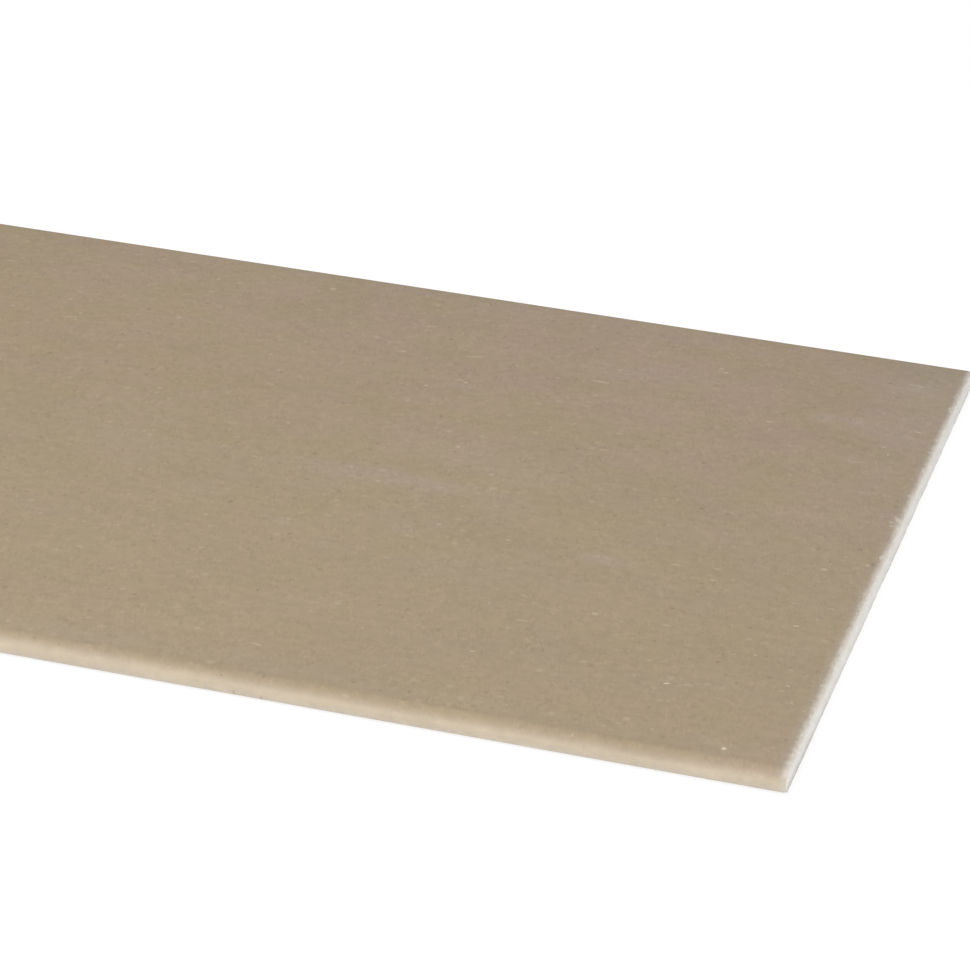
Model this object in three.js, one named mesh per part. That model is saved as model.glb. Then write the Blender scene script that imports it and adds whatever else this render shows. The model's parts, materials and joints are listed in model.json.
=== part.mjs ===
// Gypsum plasterboard (drywall) sheet with rounded long edges, lying flat on its back face.
//
// The board is a laminate of three bonded pieces, each one a constant section run along the board:
//   gypsum_core  the cast plaster core, thinned along its back edges where the face paper is folded in
//   face_paper   the liner that covers the face, wraps both rounded long edges and folds in under the back
//   back_paper   the liner that covers the back and laps over the two folded flaps
// Both ends are cut square, so they show the core between the two papers.
//
// Millimetres, +Z up. X runs along the board, Y across it and Z through its thickness.
// The origin is the centre of the back face, which is the face the board rests on.

import * as THREE from "three";

// Driving dimensions
const LENGTH = 2000; // along X, between the two cut ends
const WIDTH = 400; // across Y, over the two rounded edges
const THICKNESS = 9.5; // from the back paper's outer surface to the face
const FACE_PAPER = 0.35; // thickness of the face liner
const BACK_PAPER = 0.3; // thickness of the back liner
const FLAP_REACH = 25; // how far in from the long edge the folded face paper reaches
const BACK_SETBACK = 9; // from the long edge to the back liner's edge
const ARC_SEGMENTS = 28; // facets in each half-round edge

// The section across the board, worked out from the dimensions above
const HALF_WIDTH = WIDTH / 2;
const WRAP_BOTTOM = BACK_PAPER; // the flaps lie on the back paper's inner surface
const EDGE_RADIUS = (THICKNESS - WRAP_BOTTOM) / 2; // outside radius of the wrapped long edge
const EDGE_CENTRE_Y = HALF_WIDTH - EDGE_RADIUS;
const EDGE_CENTRE_Z = WRAP_BOTTOM + EDGE_RADIUS;
const CORE_RADIUS = EDGE_RADIUS - FACE_PAPER; // the paper's inside is the core's outside
const CORE_TOP = EDGE_CENTRE_Z + CORE_RADIUS;
const FLAP_TOP = EDGE_CENTRE_Z - CORE_RADIUS;
const FLAP_END_Y = HALF_WIDTH - FLAP_REACH;
const BACK_HALF_WIDTH = HALF_WIDTH - BACK_SETBACK;

const PAPER_COLOUR = 0xaa9a82; // grey-brown recycled liner
const BACK_COLOUR = 0xa3947e; // the back liner is a shade greyer
const GYPSUM_COLOUR = 0xdcd8d1; // set plaster, a warm off-white

const finishes = {
  facePaper: new THREE.MeshStandardMaterial({ color: PAPER_COLOUR, roughness: 0.82, metalness: 0 }),
  backPaper: new THREE.MeshStandardMaterial({ color: BACK_COLOUR, roughness: 0.86, metalness: 0 }),
  gypsum: new THREE.MeshStandardMaterial({ color: GYPSUM_COLOUR, roughness: 0.95, metalness: 0 }),
};

// The core: half-round edges, a flat face, and a back that steps up by one paper where the flaps fold in.
function coreSection() {
  const section = new THREE.Shape();
  section.moveTo(-FLAP_END_Y, WRAP_BOTTOM);
  section.lineTo(FLAP_END_Y, WRAP_BOTTOM);
  section.lineTo(FLAP_END_Y, FLAP_TOP);
  section.lineTo(EDGE_CENTRE_Y, FLAP_TOP);
  section.absarc(EDGE_CENTRE_Y, EDGE_CENTRE_Z, CORE_RADIUS, -Math.PI / 2, Math.PI / 2, false);
  section.lineTo(-EDGE_CENTRE_Y, CORE_TOP);
  section.absarc(-EDGE_CENTRE_Y, EDGE_CENTRE_Z, CORE_RADIUS, Math.PI / 2, (3 * Math.PI) / 2, false);
  section.lineTo(-FLAP_END_Y, FLAP_TOP);
  section.closePath();
  return section;
}

// The face liner: one sheet that runs over the face, round both long edges and back under the board.
function facePaperSection() {
  const section = new THREE.Shape();
  section.moveTo(FLAP_END_Y, WRAP_BOTTOM);
  section.lineTo(EDGE_CENTRE_Y, WRAP_BOTTOM);
  section.absarc(EDGE_CENTRE_Y, EDGE_CENTRE_Z, EDGE_RADIUS, -Math.PI / 2, Math.PI / 2, false);
  section.lineTo(-EDGE_CENTRE_Y, THICKNESS);
  section.absarc(-EDGE_CENTRE_Y, EDGE_CENTRE_Z, EDGE_RADIUS, Math.PI / 2, (3 * Math.PI) / 2, false);
  section.lineTo(-FLAP_END_Y, WRAP_BOTTOM);
  section.lineTo(-FLAP_END_Y, FLAP_TOP);
  section.lineTo(-EDGE_CENTRE_Y, FLAP_TOP);
  section.absarc(-EDGE_CENTRE_Y, EDGE_CENTRE_Z, CORE_RADIUS, (3 * Math.PI) / 2, Math.PI / 2, true);
  section.lineTo(EDGE_CENTRE_Y, CORE_TOP);
  section.absarc(EDGE_CENTRE_Y, EDGE_CENTRE_Z, CORE_RADIUS, Math.PI / 2, -Math.PI / 2, true);
  section.lineTo(FLAP_END_Y, FLAP_TOP);
  section.closePath();
  return section;
}

// The back liner: a flat strip, set in from both long edges, that covers the core and the flaps' inner parts.
function backPaperSection() {
  const section = new THREE.Shape();
  section.moveTo(-BACK_HALF_WIDTH, 0);
  section.lineTo(BACK_HALF_WIDTH, 0);
  section.lineTo(BACK_HALF_WIDTH, BACK_PAPER);
  section.lineTo(-BACK_HALF_WIDTH, BACK_PAPER);
  section.closePath();
  return section;
}

// Turns a section drawn in (across, up) into a solid that runs along X, centred on the board's middle.
const sectionToBoard = new THREE.Matrix4()
  .makeBasis(new THREE.Vector3(0, 1, 0), new THREE.Vector3(0, 0, 1), new THREE.Vector3(1, 0, 0))
  .setPosition(-LENGTH / 2, 0, 0);

function layer(name, section, material) {
  const geometry = new THREE.ExtrudeGeometry(section, {
    depth: LENGTH,
    bevelEnabled: false,
    curveSegments: ARC_SEGMENTS,
  });
  geometry.applyMatrix4(sectionToBoard);
  const mesh = new THREE.Mesh(geometry, material);
  mesh.name = name;
  return mesh;
}

const board = new THREE.Group();
board.name = "plasterboard_sheet";
board.add(
  layer("gypsum_core", coreSection(), finishes.gypsum),
  layer("face_paper", facePaperSection(), finishes.facePaper),
  layer("back_paper", backPaperSection(), finishes.backPaper),
);

export default board;
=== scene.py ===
"""Looks of a round-edge plasterboard sheet: cast plaster core, two paper liners and worn cut ends.

Everything is in metres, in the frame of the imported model: X runs along the board, Y across it and Z through
its thickness, and the origin is the middle of the back face. Small sizes are written as a number times MM.
"""

from __future__ import annotations

import functools
import itertools
import json
import logging
import math
from abc import ABC, abstractmethod
from collections.abc import Iterable
from dataclasses import dataclass, field
from enum import Enum

import bpy
import numpy as np
from mathutils import Matrix, Vector

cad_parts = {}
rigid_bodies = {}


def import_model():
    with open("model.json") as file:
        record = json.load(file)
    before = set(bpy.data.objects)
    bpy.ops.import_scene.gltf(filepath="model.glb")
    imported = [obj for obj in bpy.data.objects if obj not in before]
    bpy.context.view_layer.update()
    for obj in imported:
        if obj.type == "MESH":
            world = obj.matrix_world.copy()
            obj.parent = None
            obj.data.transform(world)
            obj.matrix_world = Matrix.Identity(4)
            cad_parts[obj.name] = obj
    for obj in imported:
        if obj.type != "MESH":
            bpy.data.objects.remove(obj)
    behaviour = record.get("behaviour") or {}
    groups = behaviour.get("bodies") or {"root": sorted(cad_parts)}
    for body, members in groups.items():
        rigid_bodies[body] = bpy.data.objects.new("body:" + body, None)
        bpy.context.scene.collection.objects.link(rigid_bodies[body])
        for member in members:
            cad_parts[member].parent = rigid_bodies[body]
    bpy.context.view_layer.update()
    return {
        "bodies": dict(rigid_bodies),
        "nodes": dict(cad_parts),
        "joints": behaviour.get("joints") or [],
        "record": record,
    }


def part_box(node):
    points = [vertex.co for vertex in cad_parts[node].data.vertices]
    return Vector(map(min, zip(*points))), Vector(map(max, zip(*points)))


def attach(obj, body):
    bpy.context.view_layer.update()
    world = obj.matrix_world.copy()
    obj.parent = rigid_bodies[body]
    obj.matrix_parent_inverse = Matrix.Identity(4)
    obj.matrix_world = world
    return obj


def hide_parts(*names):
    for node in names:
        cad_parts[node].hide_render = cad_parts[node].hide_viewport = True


MM = 0.001
BODY = "root"
WHITE = (1.0, 1.0, 1.0, 1.0)
DULL_SPECULAR = 0.25
SENSOR_WIDTH = 36
HASH_PRIMES = np.array([374761393, 668265263, 1442695041])
HASH_SEED_STEP = 69069
HASH_MIXER = 1274126177
HASH_MASK = 0xFFFF

Socket = bpy.types.NodeSocket
Colour = tuple[float, float, float]

log = logging.getLogger("plasterboard")


class End(Enum):
    """The board's two cut ends, by the sign of X that each faces."""

    RIGHT = 1
    LEFT = -1


class Side(Enum):
    """Which way a liner's outer surface faces, by the sign of Z."""

    FACE = 1
    BACK = -1


def linear(red: int, green: int, blue: int) -> Colour:
    """Turns a display colour into the linear colour that a shader takes.

    Args:
        red: red from 0 to 255.
        green: green from 0 to 255.
        blue: blue from 0 to 255.

    Returns:
        The three linear values, from 0 to 1.
    """
    shares = (value / 255 for value in (red, green, blue))
    return tuple(v / 12.92 if v <= 0.04045 else ((v + 0.055) / 1.055) ** 2.4 for v in shares)


def smooth(value: np.ndarray) -> np.ndarray:
    """Returns value held between 0 and 1 and eased at both."""
    held = np.clip(value, 0.0, 1.0)
    return held * held * (3 - 2 * held)


def rim_number(end: End, side: Side) -> float:
    """Returns a number of its own for each of the four rims, which tells their noise apart."""
    return end.value + 0.3 * side.value


@dataclass(frozen=True)
class Ramp:
    """A smooth change from one value to another, for shapes and for finishes.

    Attributes:
        start: where it begins. It may lie above stop.
        stop: where it ends.
        low: the value at start.
        high: the value at stop.
    """

    start: float
    stop: float
    low: float = 0.0
    high: float = 1.0

    def __call__(self, value: np.ndarray) -> np.ndarray:
        """Returns what it makes of numbers."""
        return self.low + (self.high - self.low) * smooth((value - self.start) / (self.stop - self.start))

    def moved(self, by: float) -> Ramp:
        """Returns the same change further up, for one that is counted from the face's height."""
        return Ramp(self.start + by, self.stop + by, self.low, self.high)


@dataclass(frozen=True)
class SmoothNoise:
    """Seeded noise that is smooth between the points of a lattice.

    Attributes:
        seed: picks the values on the lattice.
        cell: distance between lattice points, in metres.
        octaves: how many finer layers are added, each half as wide and half as strong.
    """

    seed: int
    cell: float
    octaves: int = 1

    def __call__(self, *coordinates: np.ndarray | float) -> np.ndarray:
        """Gives the noise at points.

        Args:
            *coordinates: one array, or number, for each of one to three coordinates, in metres.

        Returns:
            The noise at each point, between about -1 and 1.
        """
        points = np.stack(np.broadcast_arrays(*coordinates), axis=-1).astype(float)
        total = np.zeros(points.shape[:-1])
        for octave in range(self.octaves):
            total += self._layer(points * 2**octave / self.cell, self.seed + octave) / 2**octave
        return total

    def _layer(self, points: np.ndarray, seed: int) -> np.ndarray:
        """Gives one layer of the noise.

        Args:
            points: the points, counted in lattice cells, one row each.
            seed: picks the values on the lattice.

        Returns:
            The layer's noise at each point.
        """
        low = np.floor(points).astype(np.int64)
        blend = smooth(points - low)
        total = np.zeros(points.shape[:-1])
        for corner in itertools.product((0, 1), repeat=points.shape[-1]):
            share = np.prod(np.where(corner, blend, 1 - blend), axis=-1)
            total += share * self._lattice(low + np.array(corner), seed)
        return total

    @staticmethod
    def _lattice(index: np.ndarray, seed: int) -> np.ndarray:
        """Mixes the bits of lattice indices into values that look like chance.

        Args:
            index: the indices, one row each.
            seed: picks the values.

        Returns:
            The value at each index, between -1 and 1.
        """
        mixed = (index * HASH_PRIMES[: index.shape[-1]]).sum(axis=-1) + seed * HASH_SEED_STEP
        mixed = (mixed ^ (mixed >> 13)) * HASH_MIXER
        mixed = (mixed ^ (mixed >> 16)) & HASH_MASK
        return 2 * mixed / HASH_MASK - 1


class MeshSheet:
    """Collects the points and faces of one piece, and then makes its object."""

    def __init__(self) -> None:
        """Starts with no points and no faces."""
        self._points: list[np.ndarray] = []
        self._faces: list[np.ndarray] = []
        self._count = 0

    def add_points(self, x: np.ndarray, y: np.ndarray, z: np.ndarray) -> np.ndarray:
        """Adds points.

        Args:
            x: places along the board.
            y: places across it.
            z: heights.

        Returns:
            The index of each point, in the arrays' own shape.
        """
        points = np.stack(np.broadcast_arrays(x, y, z), axis=-1).astype(float)
        flat = points.reshape(-1, 3)
        index = np.arange(self._count, self._count + len(flat)).reshape(points.shape[:-1])
        self._points.append(flat)
        self._count += len(flat)
        return index

    def add_grid(self, index: np.ndarray) -> None:
        """Adds the four-sided faces of a grid of point indices."""
        corners = (index[:-1, :-1], index[:-1, 1:], index[1:, 1:], index[1:, :-1])
        self._faces.append(np.stack(corners, axis=-1).reshape(-1, 4))

    def add_faces(self, faces: np.ndarray) -> None:
        """Adds faces given as rows of point indices."""
        self._faces.append(faces)

    def make(self, name: str, sharp_angle: float = 50.0) -> bpy.types.Object:
        """Makes the object. Points that are used twice in a face count once.

        Args:
            name: the piece's name.
            sharp_angle: edges that turn by more than this many degrees stay crisp.

        Returns:
            The new object, at the origin.
        """
        faces = []
        for row in itertools.chain.from_iterable(block.tolist() for block in self._faces):
            corners = [v for at, v in enumerate(row) if v != row[at - 1]]
            if len(corners) > 2:
                faces.append(corners)
        mesh = bpy.data.meshes.new(name)
        mesh.from_pydata(np.concatenate(self._points).tolist(), [], faces)
        mesh.validate()
        mesh.shade_smooth()
        mesh.set_sharp_from_angle(angle=math.radians(sharp_angle))
        piece = bpy.data.objects.new(name, mesh)
        bpy.context.scene.collection.objects.link(piece)
        return piece


class BoardPiece(ABC):
    """A piece of the board, which is built, dressed and fixed to it.

    Attributes:
        slot: the record's material slot that its finish belongs to; not used.
    """

    slot: str

    @abstractmethod
    def build(self) -> bpy.types.Object:
        """Makes the piece's object."""

    def dress(self, material: bpy.types.Material) -> None:
        """Builds the piece, gives it its finish and fixes it to the board.

        Args:
            material: its finish.
        """
        piece = self.build()
        piece.data.materials.append(material)
        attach(piece, BODY)
        log.info("%s: %d faces", piece.name, len(piece.data.polygons))


@dataclass(frozen=True)
class BoardSection:
    """The board's section across its length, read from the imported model.

    Attributes:
        half_length: from the middle to a cut end.
        half_width: from the middle to a long edge.
        thickness: from the back to the face.
        back_paper: thickness of the back liner, on whose inside the flaps lie.
        face_paper: thickness of the face liner.
        flap_end: distance from the middle to the end of each folded flap.
        back_half_width: distance from the middle to the back liner's edge.
    """

    half_length: float
    half_width: float
    thickness: float
    back_paper: float
    face_paper: float
    flap_end: float
    back_half_width: float

    @classmethod
    def from_frame(cls, frame: dict) -> BoardSection:
        """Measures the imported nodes.


        Returns:
            The section.
        """
        face_low, face_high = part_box("face_paper")
        back_low, back_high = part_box("back_paper")
        core_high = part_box("gypsum_core")[1]
        liner = frame["nodes"]["face_paper"].data
        return cls(
            half_length=face_high.x,
            half_width=face_high.y,
            thickness=face_high.z - back_low.z,
            back_paper=back_high.z - back_low.z,
            face_paper=face_high.y - core_high.y,
            flap_end=min(abs(v.co.y) for v in liner.vertices),
            back_half_width=back_high.y,
        )

    @property
    def edge_radius(self) -> float:
        """Outside radius of the round long edges."""
        return (self.thickness - self.back_paper) / 2

    @property
    def core_radius(self) -> float:
        """Radius of the core inside the wrapped liner."""
        return self.edge_radius - self.face_paper

    @property
    def edge_y(self) -> float:
        """Distance from the middle to the centre of each round edge."""
        return self.half_width - self.edge_radius

    @property
    def edge_z(self) -> float:
        """Height of the centre of each round edge."""
        return self.back_paper + self.edge_radius


@dataclass(frozen=True)
class SectionLine:
    """A line of points across the board, with the way that the surface faces at each.

    Attributes:
        y: places across the board.
        z: heights.
        out_y: the outward direction's share across the board.
        out_z: the outward direction's share upwards.
    """

    y: np.ndarray
    z: np.ndarray
    out_y: np.ndarray
    out_z: np.ndarray

    @classmethod
    def wrapped(cls, section: BoardSection, pitch: float, arc_steps: int) -> SectionLine:
        """Follows the face liner from one flap's end, over the face, to the other's.

        Args:
            section: the board's section.
            pitch: distance between points on the flat parts.
            arc_steps: how many steps each half-round edge takes.

        Returns:
            The line.
        """
        flap_steps = math.ceil((section.edge_y - section.flap_end) / pitch)
        flap = np.linspace(section.flap_end, section.edge_y, flap_steps + 1)[:-1]
        turn = np.linspace(-math.pi / 2, math.pi / 2, arc_steps + 1)
        arc_y = section.edge_y + section.edge_radius * np.cos(turn)
        arc_z = section.edge_z + section.edge_radius * np.sin(turn)
        steps = math.ceil(section.edge_y / pitch)
        flat = np.linspace(section.edge_y, 0, steps + 1)[1:]
        y = np.concatenate([flap, arc_y, flat])
        z = np.concatenate([np.full(len(flap), section.back_paper), arc_z, np.full(steps, section.thickness)])
        out_y = np.concatenate([np.zeros(len(flap)), np.cos(turn), np.zeros(steps)])
        out_z = np.concatenate([-np.ones(len(flap)), np.sin(turn), np.ones(steps)])
        mirror = slice(-2, None, -1)
        return cls(
            y=np.concatenate([y, -y[mirror]]),
            z=np.concatenate([z, z[mirror]]),
            out_y=np.concatenate([out_y, -out_y[mirror]]),
            out_z=np.concatenate([out_z, out_z[mirror]]),
        )

    @classmethod
    def flat_back(cls, section: BoardSection, pitch: float) -> SectionLine:
        """Follows the back liner's outer surface from edge to edge.

        Args:
            section: the board's section.
            pitch: distance between points.

        Returns:
            The line.
        """
        steps = math.ceil(2 * section.back_half_width / pitch)
        y = np.linspace(-section.back_half_width, section.back_half_width, steps + 1)
        return cls(y=y, z=np.zeros_like(y), out_y=np.zeros_like(y), out_z=-np.ones_like(y))


@dataclass(frozen=True)
class EndWear:
    """Wear of the cut ends: the arris is crushed round, and the liners are torn a little way back.

    Attributes:
        arris: usual radius of the crushed arris.
        arris_spread: how much that radius varies along the end.
        arris_noise: how it varies.
        chip: how much larger the radius gets where the arris has crumbled.
        chip_noise: where it has crumbled.
        chipped: how the crumbling grows with that noise.
        tear: usual distance from the cut end to the face liner's rim.
        tear_spread: how much that distance varies over a few centimetres.
        tear_noise: how it varies over a few centimetres.
        nibble: how much it varies from one millimetre to the next.
        nibble_noise: how it varies from one millimetre to the next.
        rip: how much further back the rim lies where a piece is torn off.
        rip_noise: where a piece is torn off.
        ripped: how the tear grows with that noise.
        least_tear: the least distance from the cut end to a rim.
        free: share of the wear at each height. It is less where the liner is wrapped round an edge or
            lies underneath.
    """

    arris: float = 0.6 * MM
    arris_spread: float = 0.18 * MM
    arris_noise: SmoothNoise = SmoothNoise(11, 14 * MM, 2)
    chip: float = 0.7 * MM
    chip_noise: SmoothNoise = SmoothNoise(14, 7 * MM)
    chipped: Ramp = Ramp(0.55, 0.95)
    tear: float = 0.6 * MM
    tear_spread: float = 0.22 * MM
    tear_noise: SmoothNoise = SmoothNoise(21, 17 * MM, 2)
    nibble: float = 0.22 * MM
    nibble_noise: SmoothNoise = SmoothNoise(27, 1.3 * MM, 2)
    rip: float = 0.9 * MM
    rip_noise: SmoothNoise = SmoothNoise(29, 8 * MM)
    ripped: Ramp = Ramp(0.6, 0.9)
    least_tear: float = 0.05 * MM
    free: Ramp = Ramp(7.5 * MM, 9.2 * MM, 0.3)

    def radius(self, end: End, y: np.ndarray, z: np.ndarray) -> np.ndarray:
        """Gives the arris's radius round a cut end.

        Args:
            end: which end.
            y: places across the board.
            z: heights.

        Returns:
            The radius at each place.
        """
        soft = self.arris_noise(y, z, end.value)
        chips = self.chipped(self.chip_noise(y, z, end.value))
        return (self.arris + self.arris_spread * soft + self.chip * chips) * self.free(z)

    def drop(self, end: End, y: np.ndarray, z: np.ndarray, gap: np.ndarray) -> np.ndarray:
        """Gives how far a surface has sunk at the crushed arris.

        Args:
            end: which end.
            y: places across the board.
            z: heights.
            gap: distance from the cut end, or for the cut itself, from the section's outline.

        Returns:
            The depth below the uncrushed surface.
        """
        radius = self.radius(end, y, z)
        run = np.clip(radius - gap, 0, radius)
        return radius - np.sqrt(radius**2 - run**2)

    def setback(self, end: End, side: Side, y: np.ndarray, z: np.ndarray) -> np.ndarray:
        """Gives how far a liner's rim lies from the cut end.

        Args:
            end: which end.
            side: which liner.
            y: places across the board.
            z: heights.

        Returns:
            The distance at each place.
        """
        rim = rim_number(end, side)
        slow = self.tear_noise(y, z, rim)
        quick = self.nibble_noise(y, z, rim)
        torn = self.ripped(self.rip_noise(y, z, rim))
        distance = self.tear + self.tear_spread * slow + self.nibble * quick + self.rip * torn
        return np.maximum(distance * self.free(z), self.least_tear)


@dataclass
class GypsumCore(BoardPiece):
    """The cast plaster core, whose rough white plaster shows at both cut ends.

    Attributes:
        section: the board's section.
        wear: how the cut ends have worn.
        slot: the material slot of its finish; not used.
        pitch: distance between points across the cut.
        rows: how many steps the cut's grid takes from back to face.
        arc_steps: steps from the face to the tip of each round edge.
        ring_gaps: distances from the cut of the rows on the sides behind it.
        roughness: depth of the cut's fine roughness.
        coarse: the wider part of that roughness.
        coarse_share: how strong it is beside the finer part.
        fine: the finer part.
        sunk: how far the rough cut lies behind the true end, as a multiple of the roughness.
        side_sink: how far the sides sink beside the cut.
        side_grain: how unevenly they sink.
        side_fade: how that dies away with the distance from the cut.
        pores: how many air pores the saw has opened at each end.
        pore_seed: picks where they lie.
        pore_size: shape and scale of the spread of their radii.
        pore_share: depth of a small pore, as a share of its radius.
        deepest_pore: the most that a pore is deep.
        pore_steepness: how steep its wall is, from 1 on.
    """

    section: BoardSection
    wear: EndWear
    slot: str = "gypsum"
    pitch: float = 0.5 * MM
    rows: int = 22
    arc_steps: int = 14
    ring_gaps: tuple[float, ...] = (0.3 * MM, 0.7 * MM, 1.3 * MM, 2.4 * MM, 6 * MM)
    roughness: float = 0.09 * MM
    coarse: SmoothNoise = SmoothNoise(41, 7 * MM, 2)
    coarse_share: float = 0.6
    fine: SmoothNoise = SmoothNoise(45, 1.2 * MM, 3)
    sunk: float = 1.2
    side_sink: float = 0.06 * MM
    side_grain: SmoothNoise = SmoothNoise(33, 1.1 * MM, 2)
    side_fade: Ramp = Ramp(3 * MM, 2 * MM)
    pores: int = 1500
    pore_seed: int = 50
    pore_size: tuple[float, float] = (3.0, 0.14 * MM)
    pore_share: float = 0.75
    deepest_pore: float = 0.35 * MM
    pore_steepness: float = 1.2

    def build(self) -> bpy.types.Object:
        """Makes the core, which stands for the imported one.

        Returns:
            The core's object.
        """
        sheet = MeshSheet()
        left = self._end(sheet, End.LEFT)
        right = self._end(sheet, End.RIGHT)
        sheet.add_grid(np.stack([left, right]))
        core = sheet.make("plaster_core")
        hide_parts("gypsum_core")
        return core

    def _columns(self) -> tuple[np.ndarray, np.ndarray, np.ndarray]:
        """Lays out the columns of the cut's grid.

        Returns:
            Each column's place across the board, its lowest height and its highest.
        """
        section = self.section
        turn = np.linspace(0, math.pi / 2, self.arc_steps + 1)[1:]
        arc_y = section.edge_y + section.core_radius * np.sin(turn)
        arc_rise = section.core_radius * np.cos(turn)
        flat = np.linspace(0, section.edge_y, math.ceil(section.edge_y / self.pitch) + 1)
        half_y = np.concatenate([flat, arc_y])
        rise = np.concatenate([np.full(len(flat), section.core_radius), arc_rise])
        floor = np.where(half_y <= section.flap_end, section.back_paper, section.edge_z - rise)
        mirror = slice(None, 0, -1)
        y = np.concatenate([-half_y[mirror], half_y])
        low = np.concatenate([floor[mirror], floor])
        high = section.edge_z + np.concatenate([rise[mirror], rise])
        return y, low, high

    def _end(self, sheet: MeshSheet, end: End) -> np.ndarray:
        """Adds one cut end and the first stretch of the sides behind it.

        Args:
            sheet: where the points and faces go.
            end: which end.

        Returns:
            The indices of the innermost ring of points.
        """
        y, low, high = self._columns()
        share = (1 - np.cos(np.linspace(0, math.pi, self.rows + 1))) / 2
        z = low + (high - low) * share[:, None]
        y = np.broadcast_to(y, z.shape)
        depth = self._depth(y, z)
        x = end.value * (self.section.half_length - self._relief(end, y, z, depth))
        cut = sheet.add_points(x, y, z)
        cut[:, 0] = cut[0, 0]
        cut[:, -1] = cut[0, -1]
        sheet.add_grid(cut if end is End.RIGHT else cut[:, ::-1])
        ring = np.concatenate([cut[0], cut[-1, -2:0:-1]])
        return self._sides(sheet, end, ring, x, y, z)

    def _sides(self, sheet: MeshSheet, end: End, ring: np.ndarray, *cut: np.ndarray) -> np.ndarray:
        """Adds the sides behind a cut end.

        Args:
            sheet: where the points and faces go.
            end: which end.
            ring: the indices of the points round the cut.
            *cut: the cut's X, Y and Z grids.

        Returns:
            The indices of the innermost ring, closed on itself.
        """
        x, y, z = (np.concatenate([grid[0], grid[-1, -2:0:-1]]) for grid in cut)
        rings = [ring]
        for gap in self.ring_gaps:
            row_x = x - end.value * gap
            sink = self.side_sink * (1 + self.side_grain(row_x, y, z)) * self.side_fade(gap)
            rings.append(sheet.add_points(row_x, y, z - np.sign(z - self.section.edge_z) * sink))
        closed = np.stack([np.append(row, row[0]) for row in rings])
        sheet.add_grid(closed if end is End.LEFT else closed[:, ::-1])
        return closed[-1]

    def _depth(self, y: np.ndarray, z: np.ndarray) -> np.ndarray:
        """Measures how deep points of the cut lie inside the section's outline.

        Args:
            y: places across the board.
            z: heights.

        Returns:
            The depth of each point.
        """
        section = self.section
        beyond = np.maximum(np.abs(y) - section.edge_y, 0)
        inside = section.core_radius - np.hypot(beyond, z - section.edge_z)
        low = np.where(np.abs(y) <= section.flap_end, z - section.back_paper, inside)
        return np.clip(np.minimum(inside, low), 0, None)

    def _relief(self, end: End, y: np.ndarray, z: np.ndarray, depth: np.ndarray) -> np.ndarray:
        """Gives how far the worn, porous cut lies behind the true end.

        Args:
            end: which end.
            y: places across the board.
            z: heights.
            depth: how deep each point lies inside the outline.

        Returns:
            The distance at each point.
        """
        drop = self.wear.drop(end, y, z, depth)
        uneven = self.coarse(y, z, end.value) * self.coarse_share + self.fine(y, z, end.value)
        rough = self.roughness * (self.sunk + uneven)
        return drop + np.maximum(rough, 0) + self._pores(end, y, z)

    def _pores(self, end: End, y: np.ndarray, z: np.ndarray) -> np.ndarray:
        """Gives the depth of the air pores that the cut has opened.

        Args:
            end: which end.
            y: places across the board, as a grid with rows from back to face.
            z: heights, as the same grid.

        Returns:
            The depth at each point.
        """
        draws = np.random.default_rng(self.pore_seed + end.value)
        depth = np.zeros_like(y)
        across = y[0]
        span = self.section.half_width - self.section.edge_radius / 2
        for _ in range(self.pores):
            centre_y = draws.uniform(-span, span)
            centre_z = draws.uniform(self.section.back_paper, self.section.thickness)
            radius = draws.gamma(*self.pore_size)
            first, last = np.searchsorted(across, (centre_y - radius, centre_y + radius))
            window = (slice(None), slice(first, last))
            reach = 1 - ((y[window] - centre_y) ** 2 + (z[window] - centre_z) ** 2) / radius**2
            deepest = min(self.pore_share * radius, self.deepest_pore)
            depth[window] = np.maximum(depth[window], deepest * smooth(self.pore_steepness * reach))
        return depth


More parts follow.
